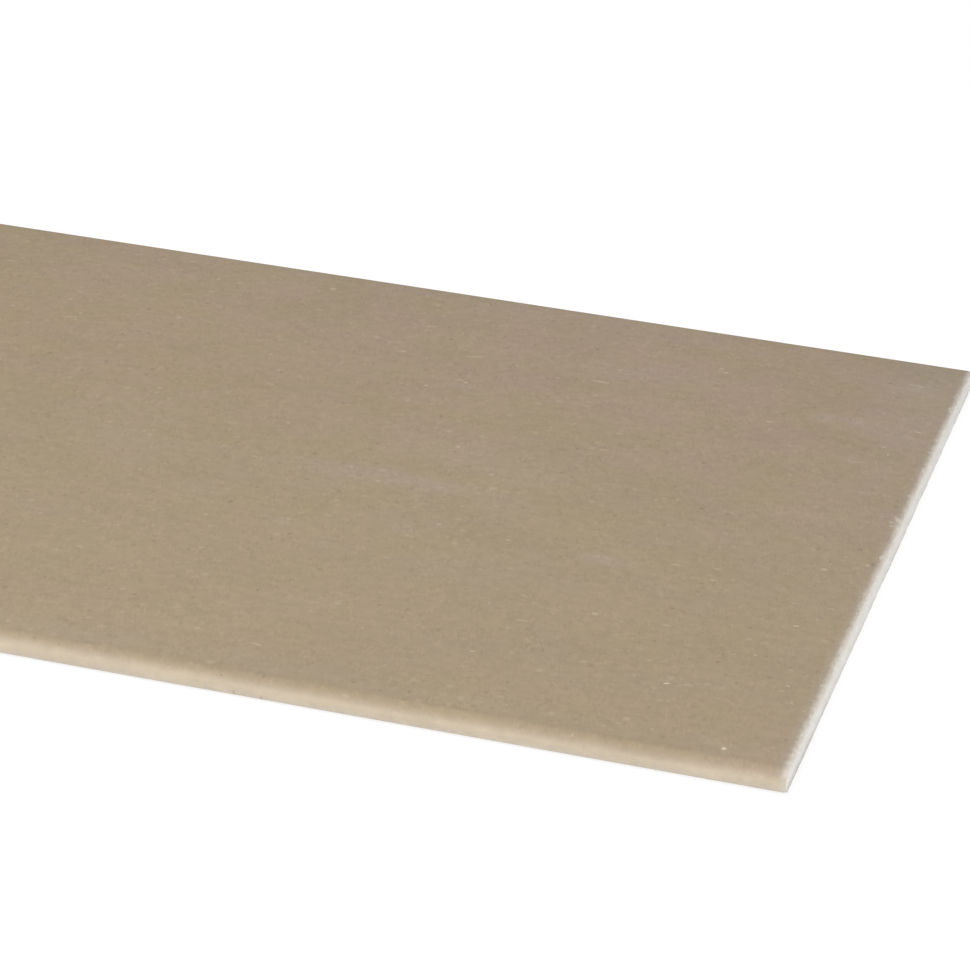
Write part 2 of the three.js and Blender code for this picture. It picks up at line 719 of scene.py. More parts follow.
@dataclass
class PaperLiner(BoardPiece):
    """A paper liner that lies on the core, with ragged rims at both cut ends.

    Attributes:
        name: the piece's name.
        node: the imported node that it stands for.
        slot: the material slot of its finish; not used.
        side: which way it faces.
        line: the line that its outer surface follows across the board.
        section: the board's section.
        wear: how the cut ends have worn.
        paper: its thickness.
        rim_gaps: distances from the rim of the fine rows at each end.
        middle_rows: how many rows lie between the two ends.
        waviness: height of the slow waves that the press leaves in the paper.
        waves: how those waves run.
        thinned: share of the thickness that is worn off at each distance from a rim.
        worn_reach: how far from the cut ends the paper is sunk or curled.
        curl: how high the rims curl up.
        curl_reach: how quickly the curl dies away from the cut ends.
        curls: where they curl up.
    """

    name: str
    node: str
    slot: str
    side: Side
    line: SectionLine
    section: BoardSection
    wear: EndWear
    paper: float
    rim_gaps: tuple[float, ...] = tuple(g * MM for g in (0, 0.1, 0.25, 0.45, 0.7, 1.1, 1.7, 2.6, 4, 7, 12))
    middle_rows: int = 26
    waviness: float = 0.035 * MM
    waves: SmoothNoise = SmoothNoise(61, 130 * MM, 2)
    thinned: Ramp = Ramp(0, 1.1 * MM, 0.65, 0.0)
    worn_reach: float = 20 * MM
    curl: float = 0.07 * MM
    curl_reach: float = 1.4 * MM
    curls: SmoothNoise = SmoothNoise(67, 5 * MM, 2)

    def build(self) -> bpy.types.Object:
        """Makes the liner as one closed sheet.

        Returns:
            The liner's object.
        """
        x, worn = self._rows()
        outer_y, outer_z = self._offset(x, self.paper * worn)
        inner_y, inner_z = self._offset(x, np.full_like(x, self.paper))
        sheet = MeshSheet()
        outer = sheet.add_points(x, outer_y, outer_z)
        inner = sheet.add_points(x, inner_y, inner_z)
        sheet.add_grid(outer)
        sheet.add_grid(inner[::-1])
        for rim in (0, -1):
            ends = np.stack([outer[rim], inner[rim]])
            edges = np.stack([outer[:, rim], inner[:, rim]])
            sheet.add_grid(ends[::-1] if rim == 0 else ends)
            sheet.add_grid(edges if rim == 0 else edges[::-1])
        liner = sheet.make(self.name)
        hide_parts(self.node)
        return liner

    def rim(self, end: End) -> tuple[np.ndarray, np.ndarray]:
        """Gives the liner's rim at a cut end, for the fibres that hang out of it.

        Args:
            end: which end.

        Returns:
            The rim's points and the outward directions there, one row each.
        """
        x, worn = self._rows()
        y, z = self._offset(x, self.paper * (worn + 1) / 2)
        row = 0 if end is End.LEFT else -1
        points = np.stack([x[row], y[row], z[row]], axis=-1)
        outward = np.stack([np.zeros_like(self.line.y), self.line.out_y, self.line.out_z], axis=-1)
        return points, outward

    def _rows(self) -> tuple[np.ndarray, np.ndarray]:
        """Lays out the rows along the board, from the left end to the right.

        Returns:
            The place along the board of each point, and the share of the thickness that is worn off there.
        """
        line = self.line
        gaps = np.array(self.rim_gaps)[:, None]
        even = Ramp(0, gaps[-1, 0], 1.0, 0.0)(gaps)
        last = self.section.half_length - self.wear.tear - gaps[-1, 0]
        middle = np.linspace(-last, last, self.middle_rows + 2)[1:-1, None] + 0 * line.y
        rows = {}
        for end in End:
            setback = self.wear.setback(end, self.side, line.y, line.z)
            rim = self.section.half_length - self.wear.tear - (setback - self.wear.tear) * even
            rows[end] = end.value * (rim - gaps)
        x = np.concatenate([rows[End.LEFT], middle, rows[End.RIGHT][::-1]])
        taper = self.thinned(gaps) + 0 * line.y
        worn = np.concatenate([taper, np.zeros_like(middle), taper[::-1]])
        return x, worn

    def _offset(self, x: np.ndarray, below: np.ndarray) -> tuple[np.ndarray, np.ndarray]:
        """Places points of the liner across and in height.

        Args:
            x: the place along the board of each point.
            below: depth below the outer surface.

        Returns:
            The places across the board and the heights.
        """
        line = self.line
        shift = self.waviness * (self.waves(x, line.y, line.z) - 1) - below
        for end in End:
            gap = self.section.half_length - end.value * x
            sink = self.wear.drop(end, line.y, line.z, gap)
            curled = smooth(self.curls(line.y, line.z, rim_number(end, self.side)))
            lift = self.curl * curled * np.exp(-gap / self.curl_reach)
            shift = shift + np.where(gap < self.worn_reach, lift - sink, 0)
        return line.y + line.out_y * shift, np.maximum(line.z + line.out_z * shift, 0)


@dataclass
class TornFibres(BoardPiece):
    """Loose paper fibres that hang out of the liners' torn rims.

    Attributes:
        liners: the liners that they hang out of.
        slot: the material slot of their finish; not used.
        count: how many there are at each rim of the face liner.
        low_count: how many there are at each rim of the back liner.
        seed: picks where they hang and how they lie.
        longest: length of the longest ones.
        length_spread: the two powers of the beta spread of their lengths.
        lean: how much they lean to the sides.
        rise: how far they rise from the paper on average, and how much that varies.
        bend: how much they bend to the sides.
        droop: the most that they droop.
        thickness: diameter at the root.
        tip: how much of that diameter is lost at the tip.
        rooted: how far inside the paper each one starts.
        steps: how many straight steps each one's curve takes.
        corners: the angles of its section's corners, in radians.
    """

    liners: tuple[PaperLiner, ...]
    slot: str = "face_paper"
    count: int = 850
    low_count: int = 300
    seed: int = 71
    longest: float = 1.5 * MM
    length_spread: tuple[float, float] = (1.6, 4.0)
    lean: float = 0.75
    rise: tuple[float, float] = (-0.1, 0.35)
    bend: float = 0.5
    droop: float = 0.5
    thickness: float = 0.05 * MM
    tip: float = 0.75
    rooted: float = 0.25 * MM
    steps: int = 4
    corners: tuple[float, ...] = (0.0, 2.1, 4.2)

    def build(self) -> bpy.types.Object:
        """Makes all the fibres as one joined piece.

        Returns:
            The fibres' object.
        """
        sheet = MeshSheet()
        draws = np.random.default_rng(self.seed)
        for liner, end in itertools.product(self.liners, End):
            points, outward = liner.rim(end)
            count = self.count if liner.side is Side.FACE else self.low_count
            picks = draws.integers(0, len(points), count)
            self._tuft(sheet, draws, end, points[picks], outward[picks])
        return sheet.make("torn_fibres", sharp_angle=180)

    def _tuft(
        self, sheet: MeshSheet, draws: np.random.Generator, end: End, roots: np.ndarray, outward: np.ndarray
    ) -> None:
        """Adds the fibres of one rim, which lean and bend by chance.

        Args:
            sheet: where the points and faces go.
            draws: the source of chance.
            end: which cut end.
            roots: where each fibre leaves the paper.
            outward: the direction out of the paper at each root.
        """
        each = (len(roots), 1)
        length = self.longest * draws.beta(*self.length_spread, each)
        along = np.zeros_like(roots)
        along[:, 0] = end.value
        across = np.cross(along, outward)
        lean = draws.normal(0, self.lean, each)
        rise = draws.normal(*self.rise, each)
        start = along + across * lean + outward * rise
        start /= np.linalg.norm(start, axis=1, keepdims=True)
        bend = across * draws.normal(0, self.bend, each) - outward * draws.uniform(0, self.droop, each)
        side = np.cross(start, outward)
        side /= np.linalg.norm(side, axis=1, keepdims=True)
        top = np.cross(side, start)
        rings = []
        for share in np.linspace(0, 1, self.steps + 1):
            centre = roots - along * self.rooted + length * share * (start + bend * share)
            thick = self.thickness / 2 * (1 - self.tip * share)
            rings.append([
                self._add(sheet, centre + thick * (side * math.cos(turn) + top * math.sin(turn)))
                for turn in self.corners
            ])
        self._skin(sheet, rings)

    @staticmethod
    def _add(sheet: MeshSheet, points: np.ndarray) -> np.ndarray:
        """Adds rows of points, held above the floor, and returns their indices."""
        return sheet.add_points(points[:, 0], points[:, 1], np.maximum(points[:, 2], 0))

    @staticmethod
    def _skin(sheet: MeshSheet, rings: list[list[np.ndarray]]) -> None:
        """Closes the fibres with faces.

        Args:
            sheet: where the faces go.
            rings: the indices of each ring's corners, from root to tip.
        """
        for lower, upper in itertools.pairwise(rings):
            for at in range(len(lower)):
                quad = (lower[at], lower[at - 1], upper[at - 1], upper[at])
                sheet.add_faces(np.stack(quad, axis=-1))
        for ring in (rings[0][::-1], rings[-1]):
            sheet.add_faces(np.stack([*ring, ring[0]], axis=-1))


@dataclass(frozen=True)
class Mark:
    """A spot on the face, placed from the right cut end and the front long edge.

    Attributes:
        from_end: distance from the right cut end, in millimetres.
        from_edge: distance from the front long edge, in millimetres.
        length: its size along its own direction, in millimetres.
        width: its size across that direction, in millimetres.
        turn: angle of its direction from the board's length, in degrees.
        strength: how strongly it shows, from 0 to 1.
    """

    from_end: float
    from_edge: float
    length: float
    width: float
    turn: float = 0.0
    strength: float = 1.0

    def centre(self, section: BoardSection) -> tuple[float, float]:
        """Returns its place along the board and across it, in metres."""
        return section.half_length - self.from_end * MM, self.from_edge * MM - section.half_width

    def draw(self, sheet: NodeSheet, place: Socket, section: BoardSection, core: float) -> Socket:
        """Draws it as a soft spot.

        Args:
            sheet: where the nodes go.
            place: the place on the unrolled paper, in millimetres.
            section: the board's section.
            core: share of the radius that shows at full strength.

        Returns:
            The spot, from 0 to its strength.
        """
        centre_x, centre_y = self.centre(section)
        local = sheet.vectors("SUBTRACT", place, (centre_x / MM, centre_y / MM, 0))
        if self.turn:
            local = sheet.turned(local, -self.turn)
        local = sheet.vectors("DIVIDE", local, (self.length / 2, self.width / 2, 1))
        return sheet.ease(sheet.vectors("LENGTH", local), Ramp(1.0, core, 0.0, self.strength))


@dataclass
class PlasterCrumbs(BoardPiece):
    """Crumbs of plaster that the cut has thrown onto the face beside the ends.

    Attributes:
        section: the board's section.
        slot: the material slot of their finish; not used.
        strewn: how many lie strewn beside each end.
        fallen: how many more lie right beside each cut.
        seed: picks where they lie and their shapes.
        strewn_gap: least distance of a strewn one from the cut, and how much further it lies on average.
        fallen_gap: the same for a fallen one.
        smallest: half of the smallest one's width.
        strewn_largest: half of the widest strewn one's width.
        fallen_largest: half of the widest fallen one's width.
        stretch: how much longer and lower than wide they are.
        bedded: how deep their centres lie in the face.
        turns: how many corners one has round its middle.
        levels: how many rows of faces it has.
        bumps: the least and the most that a corner lies from its centre, as a share of its half size.
        placed: the larger crumbs that lie on their own.
        placed_height: half of a placed one's height, as a share of its width.
    """

    section: BoardSection
    slot: str = "gypsum"
    strewn: int = 40
    fallen: int = 70
    seed: int = 81
    strewn_gap: tuple[float, float] = (2 * MM, 6 * MM)
    fallen_gap: tuple[float, float] = (0.8 * MM, 0.8 * MM)
    smallest: float = 0.05 * MM
    strewn_largest: float = 0.16 * MM
    fallen_largest: float = 0.26 * MM
    stretch: tuple[float, float, float] = (1.3, 1.0, 0.8)
    bedded: float = 0.03 * MM
    turns: int = 7
    levels: int = 4
    bumps: tuple[float, float] = (0.7, 1.15)
    placed: tuple[Mark, ...] = (
        Mark(24, 10, 0.7, 0.7),
        Mark(2.8, 225, 0.5, 0.5),
        Mark(17.5, 289.5, 0.6, 0.6),
    )
    placed_height: float = 0.3

    def build(self) -> bpy.types.Object:
        """Makes all the crumbs as one joined piece.

        Returns:
            The crumbs' object.
        """
        sheet = MeshSheet()
        draws = np.random.default_rng(self.seed)
        section = self.section
        face = section.thickness - self.bedded
        kinds = [(self.strewn_gap, self.strewn_largest)] * self.strewn
        kinds += [(self.fallen_gap, self.fallen_largest)] * self.fallen
        for end in End:
            for (least, further), largest in kinds:
                x = end.value * (section.half_length - (least + draws.exponential(further)))
                y = draws.uniform(-1, 1) * section.edge_y
                size = draws.uniform(self.smallest, largest)
                self._crumb(sheet, draws, (x, y, face), tuple(size * share for share in self.stretch))
        for mark in self.placed:
            half = (mark.length * MM / 2, mark.width * MM / 2, mark.width * MM * self.placed_height)
            self._crumb(sheet, draws, (*mark.centre(section), face), half)
        return sheet.make("plaster_crumbs", sharp_angle=35)

    def _crumb(
        self,
        sheet: MeshSheet,
        draws: np.random.Generator,
        place: tuple[float, float, float],
        half_size: tuple[float, float, float],
    ) -> None:
        """Adds one angular lump.

        Args:
            sheet: where the points and faces go.
            draws: the source of chance.
            place: its centre.
            half_size: half of its size along each axis.
        """
        turn = np.linspace(0, 2 * math.pi, self.turns, endpoint=False)
        lean = np.linspace(0, math.pi, self.levels + 1)[:, None]
        ball = np.stack(
            [np.sin(lean) * np.cos(turn), np.sin(lean) * np.sin(turn), np.cos(lean) + 0 * turn], axis=-1
        )
        ball *= draws.uniform(*self.bumps, (self.levels + 1, self.turns, 1))
        ball[0] = ball[0].mean(axis=0)
        ball[-1] = ball[-1].mean(axis=0)
        points = ball * half_size + place
        index = sheet.add_points(points[..., 0], points[..., 1], points[..., 2])
        index[0] = index[0, 0]
        index[-1] = index[-1, 0]
        sheet.add_grid(np.concatenate([index, index[:, :1]], axis=1))


@dataclass(frozen=True)
class Grain:
    """Noise for a finish, whose grains have a size of their own along each axis.

    Attributes:
        x: their size along the board, in millimetres.
        y: their size across it, in millimetres.
        z: their size through it, in millimetres.
        detail: how many finer layers the noise has.
    """

    x: float
    y: float
    z: float
    detail: float = 2.0


class NodeSheet:
    """The nodes of a material or a world, with a short method for each kind that the finishes use."""

    def __init__(self, owner: str | bpy.types.World) -> None:
        """Starts an empty sheet of nodes.

        Args:
            owner: a new material's name, or the world.
        """
        self.owner = bpy.data.materials.new(owner) if isinstance(owner, str) else owner
        self.owner.use_nodes = True
        self._tree = self.owner.node_tree
        self._tree.nodes.clear()

    def add(self, kind: str, inputs: dict[str, object], **settings: object) -> bpy.types.Node:
        """Adds a node.

        Args:
            kind: the node's type, without the ShaderNode that its name starts with.
            inputs: a value or another node's output for each named input.
            **settings: the node's own properties.

        Returns:
            The node.
        """
        node = self._tree.nodes.new(f"ShaderNode{kind}")
        for key, value in settings.items():
            setattr(node, key, value)
        sockets = {socket.identifier: socket for socket in node.inputs}
        sockets.update({socket.name: socket for socket in reversed(node.inputs) if socket.enabled})
        for key, value in inputs.items():
            if isinstance(value, Socket):
                self._tree.links.new(value, sockets[key])
            else:
                sockets[key].default_value = value
        return node

    def millimetres(self) -> Socket:
        """Returns the place on the board in millimetres."""
        return self.vectors("MULTIPLY", self.add("TexCoord", {}).outputs["Object"], (1 / MM, 1 / MM, 1 / MM))

    def maths(self, operation: str, *values: Socket | float) -> Socket:
        """Returns the result of a Math node for one to three values."""
        inputs = dict(zip(("Value", "Value_001", "Value_002"), values))
        return self.add("Math", inputs, operation=operation).outputs[0]

    def product(self, *values: Socket | float) -> Socket | float:
        """Returns the product of the values."""
        return functools.reduce(functools.partial(self.maths, "MULTIPLY"), values)

    def most(self, *values: Socket | float) -> Socket | float:
        """Returns the largest of the values."""
        return functools.reduce(functools.partial(self.maths, "MAXIMUM"), values)

    def sum_of(self, parts: Iterable[tuple[Socket, float]]) -> Socket | float:
        """Returns the sum of numbers, each times its own weight."""
        return functools.reduce(lambda total, part: self.maths("MULTIPLY_ADD", *part, total), parts, 0.0)

    def vectors(self, operation: str, first: Socket, second: Socket | tuple = (0, 0, 0)) -> Socket:
        """Returns the result of a Vector Math node, a number for LENGTH."""
        node = self.add("VectorMath", {"Vector": first, "Vector_001": second}, operation=operation)
        return node.outputs["Value" if operation == "LENGTH" else "Vector"]

    def axes(self, place: Socket) -> bpy.types.bpy_prop_collection:
        """Returns a place's or a colour's three numbers, under the names X, Y and Z."""
        return self.add("SeparateXYZ", {"Vector": place}).outputs

    def joined(self, x: Socket | float, y: Socket | float, z: Socket | float = 0.0) -> Socket:
        """Returns the vector of three numbers."""
        return self.add("CombineXYZ", {"X": x, "Y": y, "Z": z}).outputs["Vector"]

    def turned(self, place: Socket, degrees: float) -> Socket:
        """Returns a place turned about the upright axis."""
        inputs = {"Vector": place, "Angle": math.radians(degrees)}
        return self.add("VectorRotate", inputs, rotation_type="Z_AXIS").outputs["Vector"]

    def ease(self, value: Socket, ramp: Ramp) -> Socket:
        """Runs a number through a ramp.

        Args:
            value: the number.
            ramp: the ramp.

        Returns:
            What the ramp makes of it.
        """
        ends = {"From Min": ramp.start, "From Max": ramp.stop, "To Min": ramp.low, "To Max": ramp.high}
        node = self.add("MapRange", {"Value": value, **ends}, interpolation_type="SMOOTHSTEP")
        return node.outputs["Result"]

    def noise(self, place: Socket, grain: Grain) -> Socket:
        """Makes noise.

        Args:
            place: the place on the board, in millimetres.
            grain: the noise's grain.

        Returns:
            The noise there, around zero and between about -1 and 1.
        """
        scaled = self.vectors("DIVIDE", place, (grain.x, grain.y, grain.z))
        inputs = {"Vector": scaled, "Scale": 1.0, "Detail": grain.detail, "Roughness": 0.5}
        return self.maths("MULTIPLY_ADD", self.add("TexNoise", inputs).outputs["Fac"], 2.0, -1.0)

    def mix(self, share: Socket | float, first: Socket | Colour, second: Socket | Colour) -> Socket:
        """Mixes two colours.

        Args:
            share: 0 for the first and 1 for the second.
            first: a colour.
            second: a colour.

        Returns:
            The mixed colour.
        """
        colours = [c if isinstance(c, Socket) else (*c, 1.0) for c in (first, second)]
        inputs = {"Factor_Float": share, "A_Color": colours[0], "B_Color": colours[1]}
        node = self.add("Mix", inputs, data_type="RGBA")
        return next(out for out in node.outputs if out.identifier == "Result_Color")

    def finish(self, colour: Socket, roughness: float, height: Socket, relief: float) -> bpy.types.Material:
        """Ends the material in one surface shader.

        Args:
            colour: the surface's colour.
            roughness: its roughness.
            height: its relief, from 0 to 1.
            relief: how high a relief of 1 stands, in metres.

        Returns:
            The material.
        """
        bump = self.add("Bump", {"Height": height, "Distance": relief, "Strength": 1.0})
        look = {"Base Color": colour, "Roughness": roughness, "Specular IOR Level": DULL_SPECULAR}
        shader = self.add("BsdfPrincipled", {**look, "Normal": bump.outputs["Normal"]})
        self.add("OutputMaterial", {"Surface": shader.outputs["BSDF"]})
        return self.owner


@dataclass(frozen=True)
class Scatter:
    """Small spots that chance scatters over the paper, one at most in each cell of a grid.

    Attributes:
        cell: size of a cell along the board and across it, in millimetres.
        rarity: share of the cells that stay empty.
        radius: largest radius of a spot, as a share of its cell.
        strength: how strongly the strongest spot shows.
        smallest: radius of the smallest spot, as a share of the largest one's.
        softness: how a spot fades towards its outline.
    """

    cell: tuple[float, float]
    rarity: float
    radius: float
    strength: float
    smallest: float = 0.3
    softness: Ramp = Ramp(1.0, 0.15)

    def draw(self, sheet: NodeSheet, place: Socket) -> Socket:
        """Draws the spots.

        Args:
            sheet: where the nodes go.
            place: the place on the unrolled paper, in millimetres.

        Returns:
            The spots, from 0 to strength.
        """
        scaled = sheet.vectors("DIVIDE", place, (*self.cell, 1))
        inputs = {"Vector": scaled, "Scale": 1.0, "Randomness": 1.0}
        cells = sheet.add("TexVoronoi", inputs, voronoi_dimensions="2D").outputs
        chance = sheet.axes(cells["Color"])
        kept = sheet.maths("GREATER_THAN", chance["X"], self.rarity)
        least = self.smallest * self.radius
        reach = sheet.maths("MULTIPLY_ADD", chance["Y"], self.radius - least, least)
        inside = sheet.maths("DIVIDE", cells["Distance"], reach)
        return sheet.product(sheet.ease(inside, self.softness), kept, chance["Z"], self.strength)


@dataclass(frozen=True)
class PaperTexture:
    """The fine texture of recycled paper: dashes of fibre, short strokes of grain, and fuzz.

    Attributes:
        dashes: the layers of fibre dashes, each with its angle from the board's length in degrees.
        dash_strength: how strong each layer is.
        strokes: the grain's strokes, which lie across the board.
        stroke_lean: the angle that they lean by, in degrees.
        fuzz: the finest fuzz.
        patches: where dashes and strokes are busier and where they are quieter.
        patchy: how strongly they show there.
        stretched: how strongly they show below the face, where the paper is stretched.
        tones: how much the dashes, the strokes and the fuzz lighten and darken the paper.
        heights: how much of the relief each of the three makes.
    """

    dashes: tuple[tuple[float, Grain], ...] = ((-24, Grain(2.2, 2.6, 1.6, 1)), (5, Grain(2.8, 2.6, 1.6, 1)))
    dash_strength: float = 0.7
    strokes: Grain = Grain(0.9, 3.4, 1.3, 1)
    stroke_lean: float = -14
    fuzz: Grain = Grain(1.2, 0.17, 0.17, 1)
    patches: Grain = Grain(7, 11, 11)
    patchy: Ramp = Ramp(-0.4, 0.4, 0.2, 1.7)
    stretched: Ramp = Ramp(-2.5, -0.3, 0.5)
    tones: tuple[float, float, float] = (0.056, 0.094, 0.06)
    heights: tuple[float, float, float] = (0.6, 0.4, 0.25)

    def draw(self, sheet: NodeSheet, place: Socket, top: float) -> tuple[Socket, Socket, Socket]:
        """Draws the texture.

        Args:
            sheet: where the nodes go.
            place: the place on the board, in millimetres.
            top: the face's height, in millimetres.

        Returns:
            The dashes, the strokes and the fuzz, each around zero.
        """
        uneven = sheet.ease(sheet.noise(place, self.patches), self.patchy)
        busy = sheet.product(uneven, sheet.ease(sheet.axes(place)["Z"], self.stretched.moved(top)))
        layers = [sheet.noise(sheet.turned(place, lean), grain) for lean, grain in self.dashes]
        dashes = sheet.sum_of((layer, self.dash_strength) for layer in layers)
        strokes = sheet.noise(sheet.turned(place, self.stroke_lean), self.strokes)
        return sheet.product(dashes, busy), sheet.product(strokes, busy), sheet.noise(place, self.fuzz)


@dataclass(frozen=True)
class PaperClouds:
    """The paper's colour: warmer and greener clouds, lighter and darker ones, and what daylight has done.

    Attributes:
        warm: the colour of its warmer clouds.
        cool: the colour of its greener clouds.
        ageing: what daylight has done to the colour, apart from the rear right corner.
        hues: how the warmer and greener clouds lie.
        hue_change: how they turn into each other.
        calm: how strongly they show from the front of the face to its middle.
        outline: how the outlines of the aged part and of the greener part wander.
        wander: how far they wander, in millimetres.
        slant: how steeply the aged part's outline runs along the board.
        aged: where the ageing begins, from the rear right corner on.
        lit: how far below the face daylight reaches.
        green_shift: how much greener the front half has turned, and by half as much the rear edge.
        front: where the front half turns greener.
        rear: where the rear edge does.
        beside_cut: how the greener part fades beside the cut ends.
        shades: the lighter and darker clouds, each with its strength.
    """

    warm: Colour
    cool: Colour
    ageing: Colour = (1.0, 1.0, 1.0)
    hues: Grain = Grain(26, 22, 22, 4)
    hue_change: Ramp = Ramp(-0.6, 0.6)
    calm: Ramp = Ramp(-140, 70, 0.45)
    outline: Grain = Grain(90, 60, 60)
    wander: float = 25
    slant: float = 0.4
    aged: Ramp = Ramp(550, 290)
    lit: Ramp = Ramp(-1.8, -0.3)
    green_shift: float = 0.009
    front: Ramp = Ramp(80, -20)
    rear: Ramp = Ramp(140, 195, 0.0, 0.5)
    beside_cut: Ramp = Ramp(12, 40)
    shades: tuple[tuple[Grain, float], ...] = ((Grain(46, 22, 22, 3), 0.068), (Grain(5, 4.5, 4.5, 1), 0.094))

    def hued(self, sheet: NodeSheet, place: Socket, gap: Socket, top: float) -> Socket:
        """Lays down the paper's colour.

        Args:
            sheet: where the nodes go.
            place: the place on the board, in millimetres.
            gap: the distance from the nearer cut end, in millimetres.
            top: the face's height, in millimetres.

        Returns:
            The colour.
        """
        at = sheet.axes(place)
        shift = sheet.product(sheet.noise(place, self.hues), sheet.ease(at["Y"], self.calm))
        colour = sheet.mix(sheet.ease(shift, self.hue_change), self.cool, self.warm)
        uneven = sheet.noise(place, self.outline)
        covered = sheet.sum_of([(at["X"], self.slant), (at["Y"], 1.0), (uneven, self.wander)])
        aged = sheet.product(sheet.ease(covered, self.aged), sheet.ease(at["Z"], self.lit.moved(top)))
        colour = sheet.mix(aged, colour, sheet.vectors("MULTIPLY", colour, self.ageing))
        front = sheet.ease(sheet.maths("MULTIPLY_ADD", uneven, self.wander, at["Y"]), self.front)
        greener = sheet.most(front, sheet.ease(at["Y"], self.rear))
        greener = sheet.product(greener, sheet.ease(gap, self.beside_cut))
        less_red = sheet.maths("MULTIPLY_ADD", greener, -self.green_shift, 1.0)
        more_green = sheet.maths("MULTIPLY_ADD", greener, self.green_shift, 1.0)
        return sheet.vectors("MULTIPLY", colour, sheet.joined(less_red, more_green, 1.0))

    def shaded(
        self, sheet: NodeSheet, place: Socket, colour: Socket, textures: Iterable[tuple[Socket, float]]
    ) -> Socket:
        """Lightens and darkens a colour with slow clouds and with the paper's texture.

        Args:
            sheet: where the nodes go.
            place: the place on the board, in millimetres.
            colour: the colour so far.
            textures: each texture with its strength.

        Returns:
            The shaded colour.
        """
        clouds = [(sheet.noise(place, grain), strength) for grain, strength in self.shades]
        level = sheet.maths("ADD", sheet.sum_of([*clouds, *textures]), 1.0)
        return sheet.vectors("MULTIPLY", colour, sheet.joined(level, level, level))


@dataclass(frozen=True)
class FoldWearAndHighlight:
    """Paler round long edges: worn, stretched paper plus a painted highlight, and a painted floor reflection
    on their lower half.

    Attributes:
        colour: the paler colour, partly worn paper and partly painted highlight.
        waves: the waves of the pale part's upper outline, each with its height in millimetres.
        drift: how that outline rises along the board, away from the right end.
        pale: how the paper turns paler below the face, as wear and painted highlight.
        lapped: how both fade where the liner turns under the back.
        streaks: the streaks along the edge.
        streaky: how much they change the pale part.
        painted_floor_light: how strongly the painted floor reflection, in the dust's colour, shows at each
            height.
    """

    colour: Colour
    waves: tuple[tuple[Grain, float], ...] = ((Grain(11, 30, 30, 3), 0.4), (Grain(55, 80, 80, 1), 0.3))
    drift: Ramp = Ramp(660, 960, -0.6, 0.0)
    pale: Ramp = Ramp(-0.7, -4.75)
    lapped: Ramp = Ramp(0.0, 0.9)
    streaks: Grain = Grain(45, 4, 2.5, 3)
    streaky: Ramp = Ramp(-0.5, 0.5, 0.88, 1.02)
    painted_floor_light: Ramp = Ramp(5.0, 1.0, 0.0, 0.31)

    def draw(
        self, sheet: NodeSheet, place: Socket, colour: Socket, dust: Colour, section: BoardSection
    ) -> Socket:
        """Draws the wear and the painted light over a colour.

        Args:
            sheet: where the nodes go.
            place: the place on the board, in millimetres.
            colour: the colour so far.
            dust: the dust's colour, which the painted floor reflection takes.
            section: the board's section.

        Returns:
            The colour with the wear and the painted light.
        """
        at = sheet.axes(place)
        waves = [(sheet.noise(place, grain), height) for grain, height in self.waves]
        wavy = sheet.sum_of([*waves, (sheet.ease(at["X"], self.drift), 1.0), (at["Z"], 1.0)])
        below = sheet.ease(wavy, self.pale.moved(section.thickness / MM))
        outside = sheet.ease(at["Z"], self.lapped.moved(section.back_paper / MM))
        # Worn paper and painted highlight, paler below the face on the round edges.
        rubbed_and_lit = sheet.product(below, sheet.ease(sheet.noise(place, self.streaks), self.streaky))
        colour = sheet.mix(sheet.product(rubbed_and_lit, outside), colour, self.colour)
        # Painted reflection of the bright floor, paler and greyer towards the bottom of the round edges.
        return sheet.mix(sheet.product(sheet.ease(at["Z"], self.painted_floor_light), outside), colour, dust)


